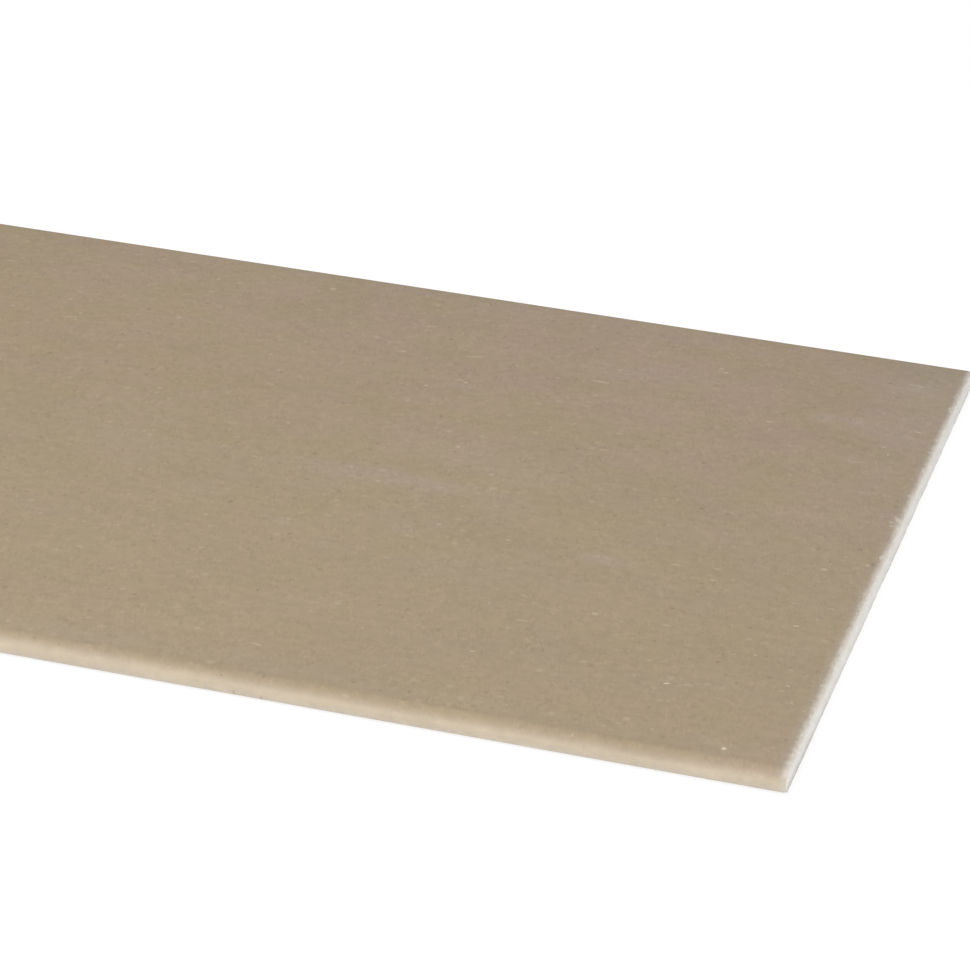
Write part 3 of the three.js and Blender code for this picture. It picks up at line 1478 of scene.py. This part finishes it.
@dataclass(frozen=True)
class PaperFlecks:
    """What lies in and on the paper: pale flecks and hairs, dark specks, rubs and dark marks, with painted
    sheen and painted shade.

    Attributes:
        pale: the colour of pale flecks.
        dark: the colour of dark specks.
        rub_and_sheen: the cold colour of the pale rubs and of the painted sheen.
        soil_and_shade: the colour of the dark marks and of the painted shade.
        flecks: the flecks that stand out.
        scuffs_and_sheen: wide, faint, pale rubs; the widest and faintest are painted sheen.
        stains_and_shade: wide, faint dark marks: a darker rear right corner, painted shade along the rear
            round edge, and a small dark spot by the cut.
        core: share of a placed fleck's radius that shows at full strength.
        scattered: the finer and the coarser flecks.
        specks: the dark specks.
        curls: the thin curled hairs, which run where this noise is zero.
        hair: how a hair shows from its edge to its middle.
        hairy: the patches that have hairs.
        hair_kept: how the hairs end at the patches' outlines.
        ragged: how far the dashes and the strokes shift the outlines of flecks, in millimetres.
        broken: how the dashes break up the rubs, the dark marks, the painted sheen and the painted shade.
    """

    pale: Colour
    dark: Colour
    rub_and_sheen: Colour = linear(207, 197, 222)
    soil_and_shade: Colour = linear(116, 112, 102)
    flecks: tuple[Mark, ...] = ()
    scuffs_and_sheen: tuple[Mark, ...] = ()
    stains_and_shade: tuple[Mark, ...] = ()
    core: float = 0.5
    scattered: tuple[Scatter, ...] = (
        Scatter((6.4, 6.2), 0.88, 0.38, 0.22),
        Scatter((10, 10), 0.955, 0.2, 0.48),
    )
    specks: Scatter = Scatter((5, 6.5), 0.84, 0.27, 0.46)
    curls: Grain = Grain(9, 7, 7, 1)
    hair: Ramp = Ramp(0.055, 0.0, 0.0, 0.24)
    hairy: Grain = Grain(4.5, 5, 5, 1)
    hair_kept: Ramp = Ramp(0.24, 0.46)
    ragged: tuple[float, float] = (0.9, 0.5)
    broken: Ramp = Ramp(-0.5, 0.4, 0.35)

    def draw(
        self,
        sheet: NodeSheet,
        place: Socket,
        colour: Socket,
        textures: tuple[Socket, Socket, Socket],
        section: BoardSection,
    ) -> Socket:
        """Draws all of them over a colour.

        Args:
            sheet: where the nodes go.
            place: the place on the board, in millimetres.
            colour: the colour so far.
            textures: the paper's dashes, strokes and fuzz.
            section: the board's section.

        Returns:
            The colour with them.
        """
        unrolled = self._unrolled(sheet, place, section)
        shift = (sheet.product(*pair) for pair in zip(textures, self.ragged))
        ragged = sheet.vectors("ADD", unrolled, sheet.joined(*shift))
        placed = (mark.draw(sheet, ragged, section, self.core) for mark in self.flecks)
        scattered = (scatter.draw(sheet, ragged) for scatter in self.scattered)
        pale = sheet.most(*scattered, self._hairs(sheet, ragged), *placed)
        colour = sheet.mix(pale, colour, self.pale)
        colour = sheet.mix(self.specks.draw(sheet, ragged), colour, self.dark)
        # Pale rubs, partly painted sheen; then dark marks, partly painted shade.
        for marks, tint in ((self.scuffs_and_sheen, self.rub_and_sheen), (self.stains_and_shade, self.soil_and_shade)):
            smear = sheet.most(0.0, *(mark.draw(sheet, unrolled, section, 0.0) for mark in marks))
            colour = sheet.mix(sheet.product(smear, sheet.ease(textures[0], self.broken)), colour, tint)
        return colour

    @staticmethod
    def _unrolled(sheet: NodeSheet, place: Socket, section: BoardSection) -> Socket:
        """Unrolls the wrapped paper.

        Args:
            sheet: where the nodes go.
            place: the place on the board, in millimetres.
            section: the board's section.

        Returns:
            The place on the paper as if it lay flat, with the face's middle at zero.
        """
        at = sheet.axes(place)
        fallen = sheet.maths("SUBTRACT", section.thickness / MM, at["Z"])
        across = sheet.maths("MULTIPLY_ADD", sheet.maths("SIGN", at["Y"]), fallen, at["Y"])
        return sheet.joined(at["X"], across)

    def _hairs(self, sheet: NodeSheet, place: Socket) -> Socket:
        """Draws thin curled hairs of paler fibre, a few millimetres long.

        Args:
            sheet: where the nodes go.
            place: the place on the unrolled paper, in millimetres.

        Returns:
            How strongly they show, from 0 between them.
        """
        curl = sheet.maths("ABSOLUTE", sheet.noise(place, self.curls))
        kept = sheet.ease(sheet.noise(place, self.hairy), self.hair_kept)
        return sheet.product(sheet.ease(curl, self.hair), kept)


@dataclass(frozen=True)
class EndDust:
    """Plaster dust on the paper beside the cut ends, and painted shade in small pits where the paper has
    frayed there.

    Attributes:
        colour: the colour of the dust.
        thin_colour: its bluer colour where it only hazes the paper.
        thickening: how the one turns into the other as the dust gets denser.
        clinging: how much of the dust clings to the paper below the face.
        lying: how much of it lies on the face.
        clings_at: height up to which it only clings, in millimetres.
        lies_at: how far below the face's height all of it lies, in millimetres.
        drifts: the dust's drifts.
        drift_reach: how far they reach, in millimetres.
        wisps: its thin wisps along the fibres.
        wisp_reach: how far they reach, in millimetres.
        wispy: the stretches of the end that have wisps.
        wispiness: how strong they are there.
        fibre_reach: how far the dust follows a fibre dash, in millimetres.
        rear_loss: how much less far it reaches for each millimetre from the front edge.
        foot: how much further it reaches at the foot of the round edge, in millimetres.
        thick: how the thick dust fades away from the cut.
        haze: how the haze fades.
        film: how the last thin film fades.
        film_strength: how strong that film is from the middle of the board to its rear.
        pits: the small pits, drawn as painted shade.
        first_pits: how the painted shade of the pits begins beside the cut.
        last_pits: how they end.
    """

    colour: Colour
    thin_colour: Colour
    thickening: Ramp = Ramp(0.08, 0.4)
    clinging: float = 0.25
    lying: float = 0.92
    clings_at: float = 6.0
    lies_at: float = 0.2
    drifts: Grain = Grain(7, 5, 5, 3)
    drift_reach: float = 0.9
    wisps: Grain = Grain(1.7, 2.5, 2.5, 3)
    wisp_reach: float = 0.75
    wispy: Grain = Grain(60, 45, 45, 1)
    wispiness: Ramp = Ramp(-0.25, 0.25, 0.2, 1.3)
    fibre_reach: float = 0.4
    rear_loss: float = 0.0009
    foot: Ramp = Ramp(2.5, 0.5, 0.0, 0.9)
    thick: Ramp = Ramp(3.7, -0.9)
    haze: Ramp = Ramp(7.0, 0.5, 0.0, 0.13)
    film: Ramp = Ramp(45, 12)
    film_strength: Ramp = Ramp(20, 180, 0.014, 0.036)
    pits: Scatter = Scatter((2.2, 3.0), 0.72, 0.32, 0.42)
    first_pits: Ramp = Ramp(0.6, 1.8)
    last_pits: Ramp = Ramp(6.5, 2.5)

    def draw(
        self,
        sheet: NodeSheet,
        place: Socket,
        colour: Socket,
        gap: Socket,
        dashes: Socket,
        pit_shade: Colour,
        section: BoardSection,
    ) -> Socket:
        """Draws the dust and the painted shade of the pits over a colour.

        Args:
            sheet: where the nodes go.
            place: the place on the board, in millimetres.
            colour: the colour so far.
            gap: the distance from the nearer cut end, in millimetres.
            dashes: the paper's fibre dashes.
            pit_shade: the colour of the painted shade in the pits.
            section: the board's section.

        Returns:
            The colour with both.
        """
        dust = self._cover(sheet, place, gap, dashes, section)
        powder = sheet.mix(sheet.ease(dust, self.thickening), self.thin_colour, self.colour)
        colour = sheet.mix(dust, colour, powder)
        # Painted shade in small pits near the cut.
        frayed = sheet.product(sheet.ease(gap, self.last_pits), sheet.ease(gap, self.first_pits))
        return sheet.mix(sheet.product(self.pits.draw(sheet, place), frayed), colour, pit_shade)

    def _cover(
        self, sheet: NodeSheet, place: Socket, gap: Socket, dashes: Socket, section: BoardSection
    ) -> Socket:
        """Gives how much dust lies on the paper.

        Args:
            sheet: where the nodes go.
            place: the place on the board, in millimetres.
            gap: the distance from the nearer cut end, in millimetres.
            dashes: the paper's fibre dashes.
            section: the board's section.

        Returns:
            The share of the paper that the dust hides.
        """
        at = sheet.axes(place)
        wispy = sheet.ease(sheet.noise(place, self.wispy), self.wispiness)
        reach = sheet.sum_of([
            (gap, 1.0),
            (sheet.maths("ADD", at["Y"], section.half_width / MM), self.rear_loss),
            (sheet.ease(at["Z"], self.foot), -1.0),
            (sheet.noise(place, self.drifts), self.drift_reach),
            (sheet.product(sheet.noise(place, self.wisps), wispy), self.wisp_reach),
            (dashes, self.fibre_reach),
        ])
        film = sheet.product(sheet.ease(reach, self.film), sheet.ease(at["Y"], self.film_strength))
        dust = sheet.most(sheet.ease(reach, self.thick), sheet.ease(reach, self.haze), film)
        lies_from = section.thickness / MM - self.lies_at
        share = Ramp(self.clings_at, lies_from, self.clinging, self.lying)
        return sheet.product(dust, sheet.ease(at["Z"], share))


@dataclass(frozen=True)
class LinerFinish:
    """Recycled grey-brown paper, with everything that lies in it and on it.

    Attributes:
        name: the material's name.
        section: the board's section.
        clouds: its colour.
        edge_wear_and_highlight: its wear and painted highlight on the round long edges.
        flecks: its flecks, rubs, dark marks, painted sheen and painted shade.
        dust: the plaster dust at the cut ends.
        texture: its fine texture.
        roughness: how dull it is.
        relief: the height of its texture, in metres.
    """

    name: str
    section: BoardSection
    clouds: PaperClouds
    edge_wear_and_highlight: FoldWearAndHighlight
    flecks: PaperFlecks
    dust: EndDust
    texture: PaperTexture = PaperTexture()
    roughness: float = 0.86
    relief: float = 0.05 * MM

    def build(self) -> bpy.types.Material:
        """Makes the material.

        Returns:
            The material.
        """
        section, texture = self.section, self.texture
        sheet = NodeSheet(self.name)
        place = sheet.millimetres()
        top = section.thickness / MM
        textures = texture.draw(sheet, place, top)
        away = sheet.maths("ABSOLUTE", sheet.axes(place)["X"])
        gap = sheet.maths("SUBTRACT", section.half_length / MM, away)
        colour = self.clouds.hued(sheet, place, gap, top)
        colour = self.edge_wear_and_highlight.draw(sheet, place, colour, self.dust.colour, section)
        colour = self.clouds.shaded(sheet, place, colour, zip(textures, texture.tones))
        colour = self.flecks.draw(sheet, place, colour, textures, section)
        # The dark speck colour serves as the painted shade in the pits.
        colour = self.dust.draw(sheet, place, colour, gap, textures[0], self.flecks.dark, section)
        height = sheet.sum_of(zip(textures, texture.heights))
        return sheet.finish(colour, self.roughness, height, self.relief)


@dataclass(frozen=True)
class PlasterFinish:
    """Set plaster, dull and porous, a warm off-white.

    Attributes:
        name: the material's name.
        plaster: the usual colour.
        shade: its darker clouds.
        pore: painted shade inside small pores.
        smear: the colour that the torn paper leaves on the plaster just below the face.
        foot_grey: the grey that the cut end turns towards its foot, near the front long edge.
        clouds: how the darker clouds lie.
        cloud_change: how they turn into the usual colour.
        grain: the fine grain.
        pore_rate: how many pores there are along a millimetre.
        pore_radii: radius of the smallest and the largest pore, in millimetres times that rate.
        pore_depth: how a pore shows from its outline inwards.
        smear_edge: how the smear's outline wanders.
        smear_wander: how far it wanders, in millimetres.
        smeared: how the smear grows with height.
        foot: how that grey fades with height.
        foot_reach: how it fades along the cut end, away from the front edge.
        heights: how much of the relief the grain and the pores make.
        roughness: how dull it is.
        relief: the height of that relief, in metres.
    """

    name: str
    plaster: Colour
    shade: Colour
    pore: Colour
    smear: Colour
    foot_grey: Colour
    clouds: Grain = Grain(9, 9, 4, 3)
    cloud_change: Ramp = Ramp(-0.5, 0.5)
    grain: Grain = Grain(0.35, 0.35, 0.35, 3)
    pore_rate: float = 1.15
    pore_radii: tuple[float, float] = (0.05, 0.27)
    pore_depth: Ramp = Ramp(1.0, 0.5, 0.0, 0.6)
    smear_edge: Grain = Grain(3, 3, 3)
    smear_wander: float = 0.9
    smeared: Ramp = Ramp(6.8, 9.2, 0.0, 0.26)
    foot: Ramp = Ramp(4.5, 1.6)
    foot_reach: Ramp = Ramp(-70, -195, 0.0, 0.21)
    heights: tuple[float, float] = (0.35, -0.9)
    roughness: float = 0.95
    relief: float = 0.12 * MM

    def build(self) -> bpy.types.Material:
        """Makes the material.

        Returns:
            The material.
        """
        sheet = NodeSheet(self.name)
        place = sheet.millimetres()
        at = sheet.axes(place)
        clouds = sheet.ease(sheet.noise(place, self.clouds), self.cloud_change)
        pores = self._pores(sheet, place)
        colour = sheet.mix(clouds, self.plaster, self.shade)
        # Painted shade inside small pores.
        colour = sheet.mix(pores, colour, self.pore)
        wandering = sheet.noise(place, self.smear_edge)
        smeared = sheet.maths("MULTIPLY_ADD", wandering, self.smear_wander, at["Z"])
        colour = sheet.mix(sheet.ease(smeared, self.smeared), colour, self.smear)
        # Greyer towards the foot of the cut end, near the front long edge.
        darker_foot = sheet.product(sheet.ease(at["Z"], self.foot), sheet.ease(at["Y"], self.foot_reach))
        colour = sheet.mix(darker_foot, colour, self.foot_grey)
        height = sheet.sum_of(zip((sheet.noise(place, self.grain), pores), self.heights))
        return sheet.finish(colour, self.roughness, height, self.relief)

    def _pores(self, sheet: NodeSheet, place: Socket) -> Socket:
        """Draws the painted shade of small pores.

        Args:
            sheet: where the nodes go.
            place: the place on the board, in millimetres.

        Returns:
            How strongly their painted shade shows, from 0 between them.
        """
        least, most = self.pore_radii
        cells = sheet.add("TexVoronoi", {"Vector": place, "Scale": self.pore_rate, "Randomness": 1.0}).outputs
        reach = sheet.maths("MULTIPLY_ADD", sheet.axes(cells["Color"])["X"], most - least, least)
        return sheet.ease(sheet.maths("DIVIDE", cells["Distance"], reach), self.pore_depth)


@dataclass(frozen=True)
class FibreFinish:
    """Loose paper fibre, pale where the torn paper opens.

    Attributes:
        name: the material's name.
        dark: the browner fibres.
        pale: the paler fibres.
        kinds: where each of them lies.
        change: how they turn into each other.
        roughness: how dull they are.
        relief: the height of their relief, in metres.
    """

    name: str
    dark: Colour
    pale: Colour
    kinds: Grain = Grain(1.5, 1.5, 1.5, 1)
    change: Ramp = Ramp(-0.4, 0.4)
    roughness: float = 0.8
    relief: float = 0.005 * MM

    def build(self) -> bpy.types.Material:
        """Makes the material.

        Returns:
            The material.
        """
        sheet = NodeSheet(self.name)
        kind = sheet.noise(sheet.millimetres(), self.kinds)
        colour = sheet.mix(sheet.ease(kind, self.change), self.dark, self.pale)
        return sheet.finish(colour, self.roughness, kind, self.relief)


@dataclass(frozen=True)
class FloorFinish:
    """A plain pale floor that the camera sees as white, with the board's shadow kept.

    Attributes:
        name: the material's name.
        bounce: how much light the floor gives back to the board.
        lift: the light that it gives out by itself, as a lit table does.
        seen: the share of the floor's white that shadows can darken.
        glow: the share that they can't.
    """

    name: str
    bounce: float = 0.86
    lift: float = 0.12
    seen: float = 0.2
    glow: float = 0.86

    def build(self) -> bpy.types.Material:
        """Makes the material.

        Returns:
            The material.
        """
        sheet = NodeSheet(self.name)
        lighting = self._glowing(sheet, self.bounce, self.lift)
        shown = self._glowing(sheet, self.seen, self.glow)
        mixed = sheet.add("MixShader", {"Fac": seen_directly(sheet), "Shader": lighting, "Shader_001": shown})
        sheet.add("OutputMaterial", {"Surface": mixed.outputs[0]})
        return sheet.owner

    @staticmethod
    def _glowing(sheet: NodeSheet, colour: float, glow: float) -> Socket:
        """Makes a grey surface that gives out some light by itself.

        Args:
            sheet: where the nodes go.
            colour: how bright the grey is.
            glow: how much light it gives out.

        Returns:
            The shader.
        """
        grey = sheet.add("BsdfDiffuse", {"Color": (colour, colour, colour, 1)})
        light = sheet.add("Emission", {"Color": WHITE, "Strength": glow})
        return sheet.add("AddShader", {"Shader": grey.outputs[0], "Shader_001": light.outputs[0]}).outputs[0]


def seen_directly(sheet: NodeSheet) -> Socket:
    """Returns 1 for light paths that show a background: from the camera, a reflection or a clear material."""
    path = sheet.add("LightPath", {}).outputs
    return sheet.most(path["Is Camera Ray"], path["Is Glossy Ray"], path["Is Transmission Ray"])


@dataclass(frozen=True)
class SoftBox:
    """A soft light that faces the board.

    Attributes:
        name: its name.
        azimuth: where it stands, in degrees: 0 is in front of the board and 90 at its right end.
        elevation: its height above the horizon, in degrees.
        distance: from the point on the board that it faces.
        width: its width.
        height: its height.
        strength: the light that it throws on a surface square to it, where 1 is full daylight white.
    """

    name: str
    azimuth: float
    elevation: float
    distance: float
    width: float
    height: float
    strength: float

    @property
    def power(self) -> float:
        """Its power in watts."""
        return self.strength * (math.pi * self.distance) ** 2


@dataclass
class Studio:
    """The floor, the lights and the camera.

    Attributes:
        section: the board's section.
        sky: strength of the light from all round.
        boxes: the soft lights.
        lit_x: place along the board that the soft lights face.
        floor_half: half of the floor's width.
        floor_drop: how far under the board the floor lies, so that they don't share a plane.
        azimuth: the camera's direction round the board, in degrees.
        elevation: its height above the horizon, in degrees.
        roll: its turn about its own axis, in degrees.
        distance: from the camera to the point that it looks at.
        aim_from_end: that point's distance from the right cut end.
        aim_from_edge: its distance from the front long edge.
        lens: focal length for a frame whose long side is 36 mm.
        near: distance from which the camera sees.
    """

    section: BoardSection
    sky: float = 0.49
    boxes: tuple[SoftBox, ...] = (
        SoftBox("main_light", azimuth=-20, elevation=50, distance=2.1, width=1.2, height=1.2, strength=0.625),
        SoftBox("side_light", azimuth=55, elevation=7, distance=3.0, width=1.4, height=0.6, strength=0.27),
    )
    lit_x: float = 750 * MM
    floor_half: float = 30.0
    floor_drop: float = 0.02 * MM
    azimuth: float = 14.19
    elevation: float = 23.21
    roll: float = 3.6
    distance: float = 1518.1 * MM
    aim_from_end: float = 165.1 * MM
    aim_from_edge: float = 216.25 * MM
    lens: float = 142.4
    near: float = 50 * MM

    def build(self) -> None:
        """Makes the floor, the lights and the camera, and sets how the picture is shown."""
        self._floor()
        self._world()
        for box in self.boxes:
            self._hang(box)
        self._camera()
        bpy.context.scene.view_settings.view_transform = "Standard"

    def _floor(self) -> None:
        """Lays the floor just under the board."""
        half = self.floor_half
        sheet = MeshSheet()
        x, y = np.meshgrid((-half, half), (-half, half))
        sheet.add_grid(sheet.add_points(x, y, np.full(x.shape, -self.floor_drop)))
        floor = sheet.make("floor")
        floor.data.materials.append(FloorFinish("pale_floor").build())

    def _world(self) -> None:
        """Sets the light from all round, which shows as white."""
        world = bpy.data.worlds.new("studio_air")
        world.use_nodes = True
        bpy.context.scene.world = world
        sheet = NodeSheet(world)
        strength = sheet.maths("MULTIPLY_ADD", seen_directly(sheet), 1 - self.sky, self.sky)
        air = sheet.add("Background", {"Color": WHITE, "Strength": strength})
        sheet.add("OutputWorld", {"Surface": air.outputs[0]})

    @staticmethod
    def _direction(azimuth: float, elevation: float) -> Vector:
        """Returns the direction from the board towards an azimuth and an elevation in degrees."""
        turn, rise = math.radians(azimuth), math.radians(elevation)
        return Vector((math.sin(turn) * math.cos(rise), -math.cos(turn) * math.cos(rise), math.sin(rise)))

    def _hang(self, box: SoftBox) -> None:
        """Hangs one soft light, out of the camera's sight.

        Args:
            box: the light.
        """
        lamp = bpy.data.lights.new(box.name, "AREA")
        lamp.shape = "RECTANGLE"
        lamp.size = box.width
        lamp.size_y = box.height
        lamp.energy = box.power
        holder = bpy.data.objects.new(box.name, lamp)
        towards = self._direction(box.azimuth, box.elevation)
        holder.location = Vector((self.lit_x, 0, 0)) + towards * box.distance
        holder.rotation_euler = towards.to_track_quat("Z", "Y").to_euler()
        holder.visible_camera = False
        bpy.context.scene.collection.objects.link(holder)

    def _camera(self) -> None:
        """Sets the camera up with its roll."""
        section = self.section
        aim = Vector((section.half_length - self.aim_from_end, self.aim_from_edge - section.half_width, 0))
        back = self._direction(self.azimuth, self.elevation)
        turn, roll = math.radians(self.azimuth), math.radians(self.roll)
        level = Vector((math.cos(turn), math.sin(turn), 0))
        upright = back.cross(level)
        right = level * math.cos(roll) + upright * math.sin(roll)
        up = upright * math.cos(roll) - level * math.sin(roll)
        lens = bpy.data.cameras.new("camera")
        lens.lens = self.lens
        lens.sensor_width = SENSOR_WIDTH
        lens.clip_start = self.near
        camera = bpy.data.objects.new("camera", lens)
        facing = Matrix((right, up, back)).transposed().to_4x4()
        camera.matrix_world = Matrix.Translation(aim + back * self.distance) @ facing
        bpy.context.scene.collection.objects.link(camera)
        bpy.context.scene.camera = camera


@dataclass
class Plasterboard:
    """The whole board: core, liners, torn fibres and crumbs, with their finishes.

    Attributes:
        section: the board's section.
        wear: how its cut ends have worn.
        face_pitch: distance between the face liner's points across the board.
        edge_steps: how many steps it takes round each long edge.
        back_pitch: distance between the back liner's points across the board.
    """

    section: BoardSection
    wear: EndWear = field(default_factory=EndWear)
    face_pitch: float = 0.62 * MM
    edge_steps: int = 26
    back_pitch: float = 1.0 * MM

    def build(self) -> None:
        """Builds and dresses every piece."""
        section = self.section
        face = PaperLiner(
            name="face_liner",
            node="face_paper",
            slot="face_paper",
            side=Side.FACE,
            line=SectionLine.wrapped(section, self.face_pitch, self.edge_steps),
            section=section,
            wear=self.wear,
            paper=section.face_paper,
        )
        back = PaperLiner(
            name="back_liner",
            node="back_paper",
            slot="back_paper",
            side=Side.BACK,
            line=SectionLine.flat_back(section, self.back_pitch),
            section=section,
            wear=self.wear,
            paper=section.back_paper,
            waviness=0.0,
        )
        plaster = self._plaster()
        GypsumCore(section, self.wear).dress(plaster)
        face.dress(self._face_paper())
        back.dress(self._back_paper())
        TornFibres((face, back)).dress(self._fibre())
        PlasterCrumbs(section).dress(plaster)

    @staticmethod
    def _fibre() -> bpy.types.Material:
        """Returns the finish of the torn fibres."""
        return FibreFinish("torn_fibre", dark=linear(186, 168, 140), pale=linear(222, 208, 184)).build()

    @staticmethod
    def _plaster() -> bpy.types.Material:
        """Makes the finish of the plaster.

        Returns:
            The material.
        """
        return PlasterFinish(
            name="set_plaster",
            plaster=linear(235, 233, 229),
            shade=linear(228, 223, 216),
            pore=linear(200, 194, 184),
            smear=linear(214, 200, 180),
            foot_grey=linear(120, 124, 128),
        ).build()

    def _face_paper(self) -> bpy.types.Material:
        """Makes the finish of the face liner.

        Returns:
            The material.
        """
        return LinerFinish(
            name="face_liner_paper",
            section=self.section,
            clouds=PaperClouds(
                warm=linear(168, 148, 131), cool=linear(165, 148, 123), ageing=(0.998, 1.003, 0.935)
            ),
            # The round edges' paler colour, partly painted highlight.
            edge_wear_and_highlight=FoldWearAndHighlight(colour=linear(193, 179, 158)),
            flecks=self._face_flecks(),
            dust=EndDust(colour=linear(229, 225, 216), thin_colour=linear(206, 222, 230)),
        ).build()

    @staticmethod
    def _face_flecks() -> PaperFlecks:
        """Lists what lies in and on the face liner.

        Returns:
            Its flecks, rubs, dark marks, painted sheen and painted shade.
        """
        return PaperFlecks(
            pale=linear(210, 195, 173),
            dark=linear(120, 105, 86),
            flecks=(
                Mark(53.5, 51.5, 2.8, 1.4, 14, 0.95),
                Mark(13.5, 65.5, 2.0, 1.6, 0, 0.6),
                Mark(196, 295.5, 2.4, 1.2, 10, 0.8),
                Mark(166, 152, 2.2, 1.2, 30, 0.55),
                Mark(137.5, 148, 3.4, 1.0, -14, 0.6),
                Mark(199.5, 182.5, 2.4, 1.2, 0, 0.5),
                Mark(153.5, 226, 2.0, 1.2, 50, 0.5),
                Mark(10, 318.5, 2.4, 1.6, 0, 0.6),
                Mark(69.5, 305, 3.2, 1.2, 0, 0.6),
                Mark(97.5, 351.5, 2.4, 1.4, 0, 0.5),
                Mark(17.5, 369.5, 2.6, 1.6, 20, 0.5),
                Mark(29, 86, 1.6, 1.4, 0, 0.45),
                Mark(195.5, 26, 2.6, 1.0, -20, 0.5),
                Mark(124, 50, 3.0, 0.9, 10, 0.5),
                Mark(24, 10, 2.0, 3.2, 0, 0.75),
                Mark(2.4, 226.5, 2.4, 6.5, 25, 0.6),
                Mark(4.0, 223, 3.2, 3.2, -20, 0.3),
                Mark(3.0, 219.5, 4.4, 2.0, 0, 0.4),
                Mark(1.8, 188, 2.6, 5.0, 0, 0.75),
                Mark(5.5, 179, 2.4, 2.4, 0, 0.4),
                Mark(144, 319.5, 11.0, 2.4, 0, 0.34),
                Mark(200.5, 325.5, 9.5, 2.3, 25, 0.3),
                Mark(101.5, 147.5, 8.0, 1.8, 0, 0.2),
                Mark(199, 297.5, 5.5, 1.5, -14, 0.3),
                Mark(73, 151, 5.0, 1.5, 0, 0.3),
                Mark(227.5, 352, 8.5, 2.0, 25, 0.22),
                Mark(114, 81.5, 6.5, 1.6, 0, 0.21),
                Mark(20.5, 370, 8.0, 2.1, 0, 0.18),
                Mark(125.5, 248.5, 5.5, 1.5, 0, 0.28),
                Mark(197, 26.5, 6.0, 1.3, 0, 0.26),
                Mark(28.5, 277, 7.5, 2.0, 0, 0.16),
                Mark(271.5, 216, 8.5, 1.9, 0, 0.19),
                Mark(11, 135, 4.5, 1.5, 0, 0.26),
                Mark(421, 353.5, 6.0, 1.8, 0, 0.26),
                Mark(220.5, 134.5, 9.0, 1.6, 0, 0.2),
                Mark(58, 153.5, 5.5, 1.4, 0, 0.25),
                Mark(91, 97.5, 3.4, 2.0, -20, 0.4),
                Mark(64.5, 98, 4.2, 1.3, 0, 0.35),
                Mark(57.5, 143, 3.0, 1.5, 0, 0.4),
                Mark(25, 134.5, 5.0, 1.4, 0, 0.22),
                Mark(36.5, 83.5, 2.0, 1.4, 0, 0.35),
                Mark(372, 300, 14.0, 2.2, 20, 0.15),
            ),
            # Pale rubs; the widest and faintest stand in for painted sheen on the face.
            scuffs_and_sheen=(
                Mark(200, 188, 150, 28, -2, 0.085),
                Mark(99, 144.5, 30, 16, 0, 0.1),
                Mark(49, 319.5, 17, 16, 0, 0.13),
                Mark(38, 319.5, 20, 14, 0, 0.13),
                Mark(18.5, 367.5, 26, 22, 0, 0.09),
                Mark(29.5, 278, 17, 12, 0, 0.08),
                Mark(140, 335, 150, 40, 3, 0.03),
                Mark(197, 291, 22, 16, 0, 0.05),
                Mark(166, 151, 14, 14, 0, 0.08),
                Mark(177, 141, 18, 18, 0, 0.07),
                Mark(260, 146, 30, 22, 0, 0.04),
                Mark(221, 132, 30, 14, 0, 0.04),
                Mark(300, 185, 110, 30, 4, 0.03),
                Mark(260, 11, 900, 24, 0, 0.027),
                Mark(150, 222, 130, 46, 0, 0.035),
                Mark(150, 118, 70, 44, 0, 0.035),
            ),
            stains_and_shade=(
                # A darker rear right corner; painted shade along the rear round edge, which turns away from
                # the lights; a small dark spot by the cut.
                Mark(15, 390, 110, 90, 0, 0.17),
                Mark(200, 402, 4000, 34, 0, 0.15),
                Mark(3.8, 180.5, 3.0, 6.5, 0, 0.85),
            ),
        )

    def _back_paper(self) -> bpy.types.Material:
        """Makes the finish of the back liner.

        Returns:
            The material.
        """
        return LinerFinish(
            name="back_liner_paper",
            section=self.section,
            clouds=PaperClouds(warm=linear(161, 144, 125), cool=linear(158, 144, 119)),
            edge_wear_and_highlight=FoldWearAndHighlight(colour=linear(160, 144, 122)),
            flecks=PaperFlecks(pale=linear(196, 180, 155), dark=linear(112, 99, 82)),
            dust=EndDust(colour=linear(226, 226, 222), thin_colour=linear(200, 212, 218), clinging=1.0),
        ).build()


def main() -> None:
    """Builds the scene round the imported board."""
    logging.basicConfig(level=logging.INFO, format="%(name)s %(message)s")
    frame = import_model()
    section = BoardSection.from_frame(frame)
    Plasterboard(section).build()
    log.info("board dressed")
    Studio(section).build()
    log.info("studio ready")


if __name__ == "__main__":
    main()
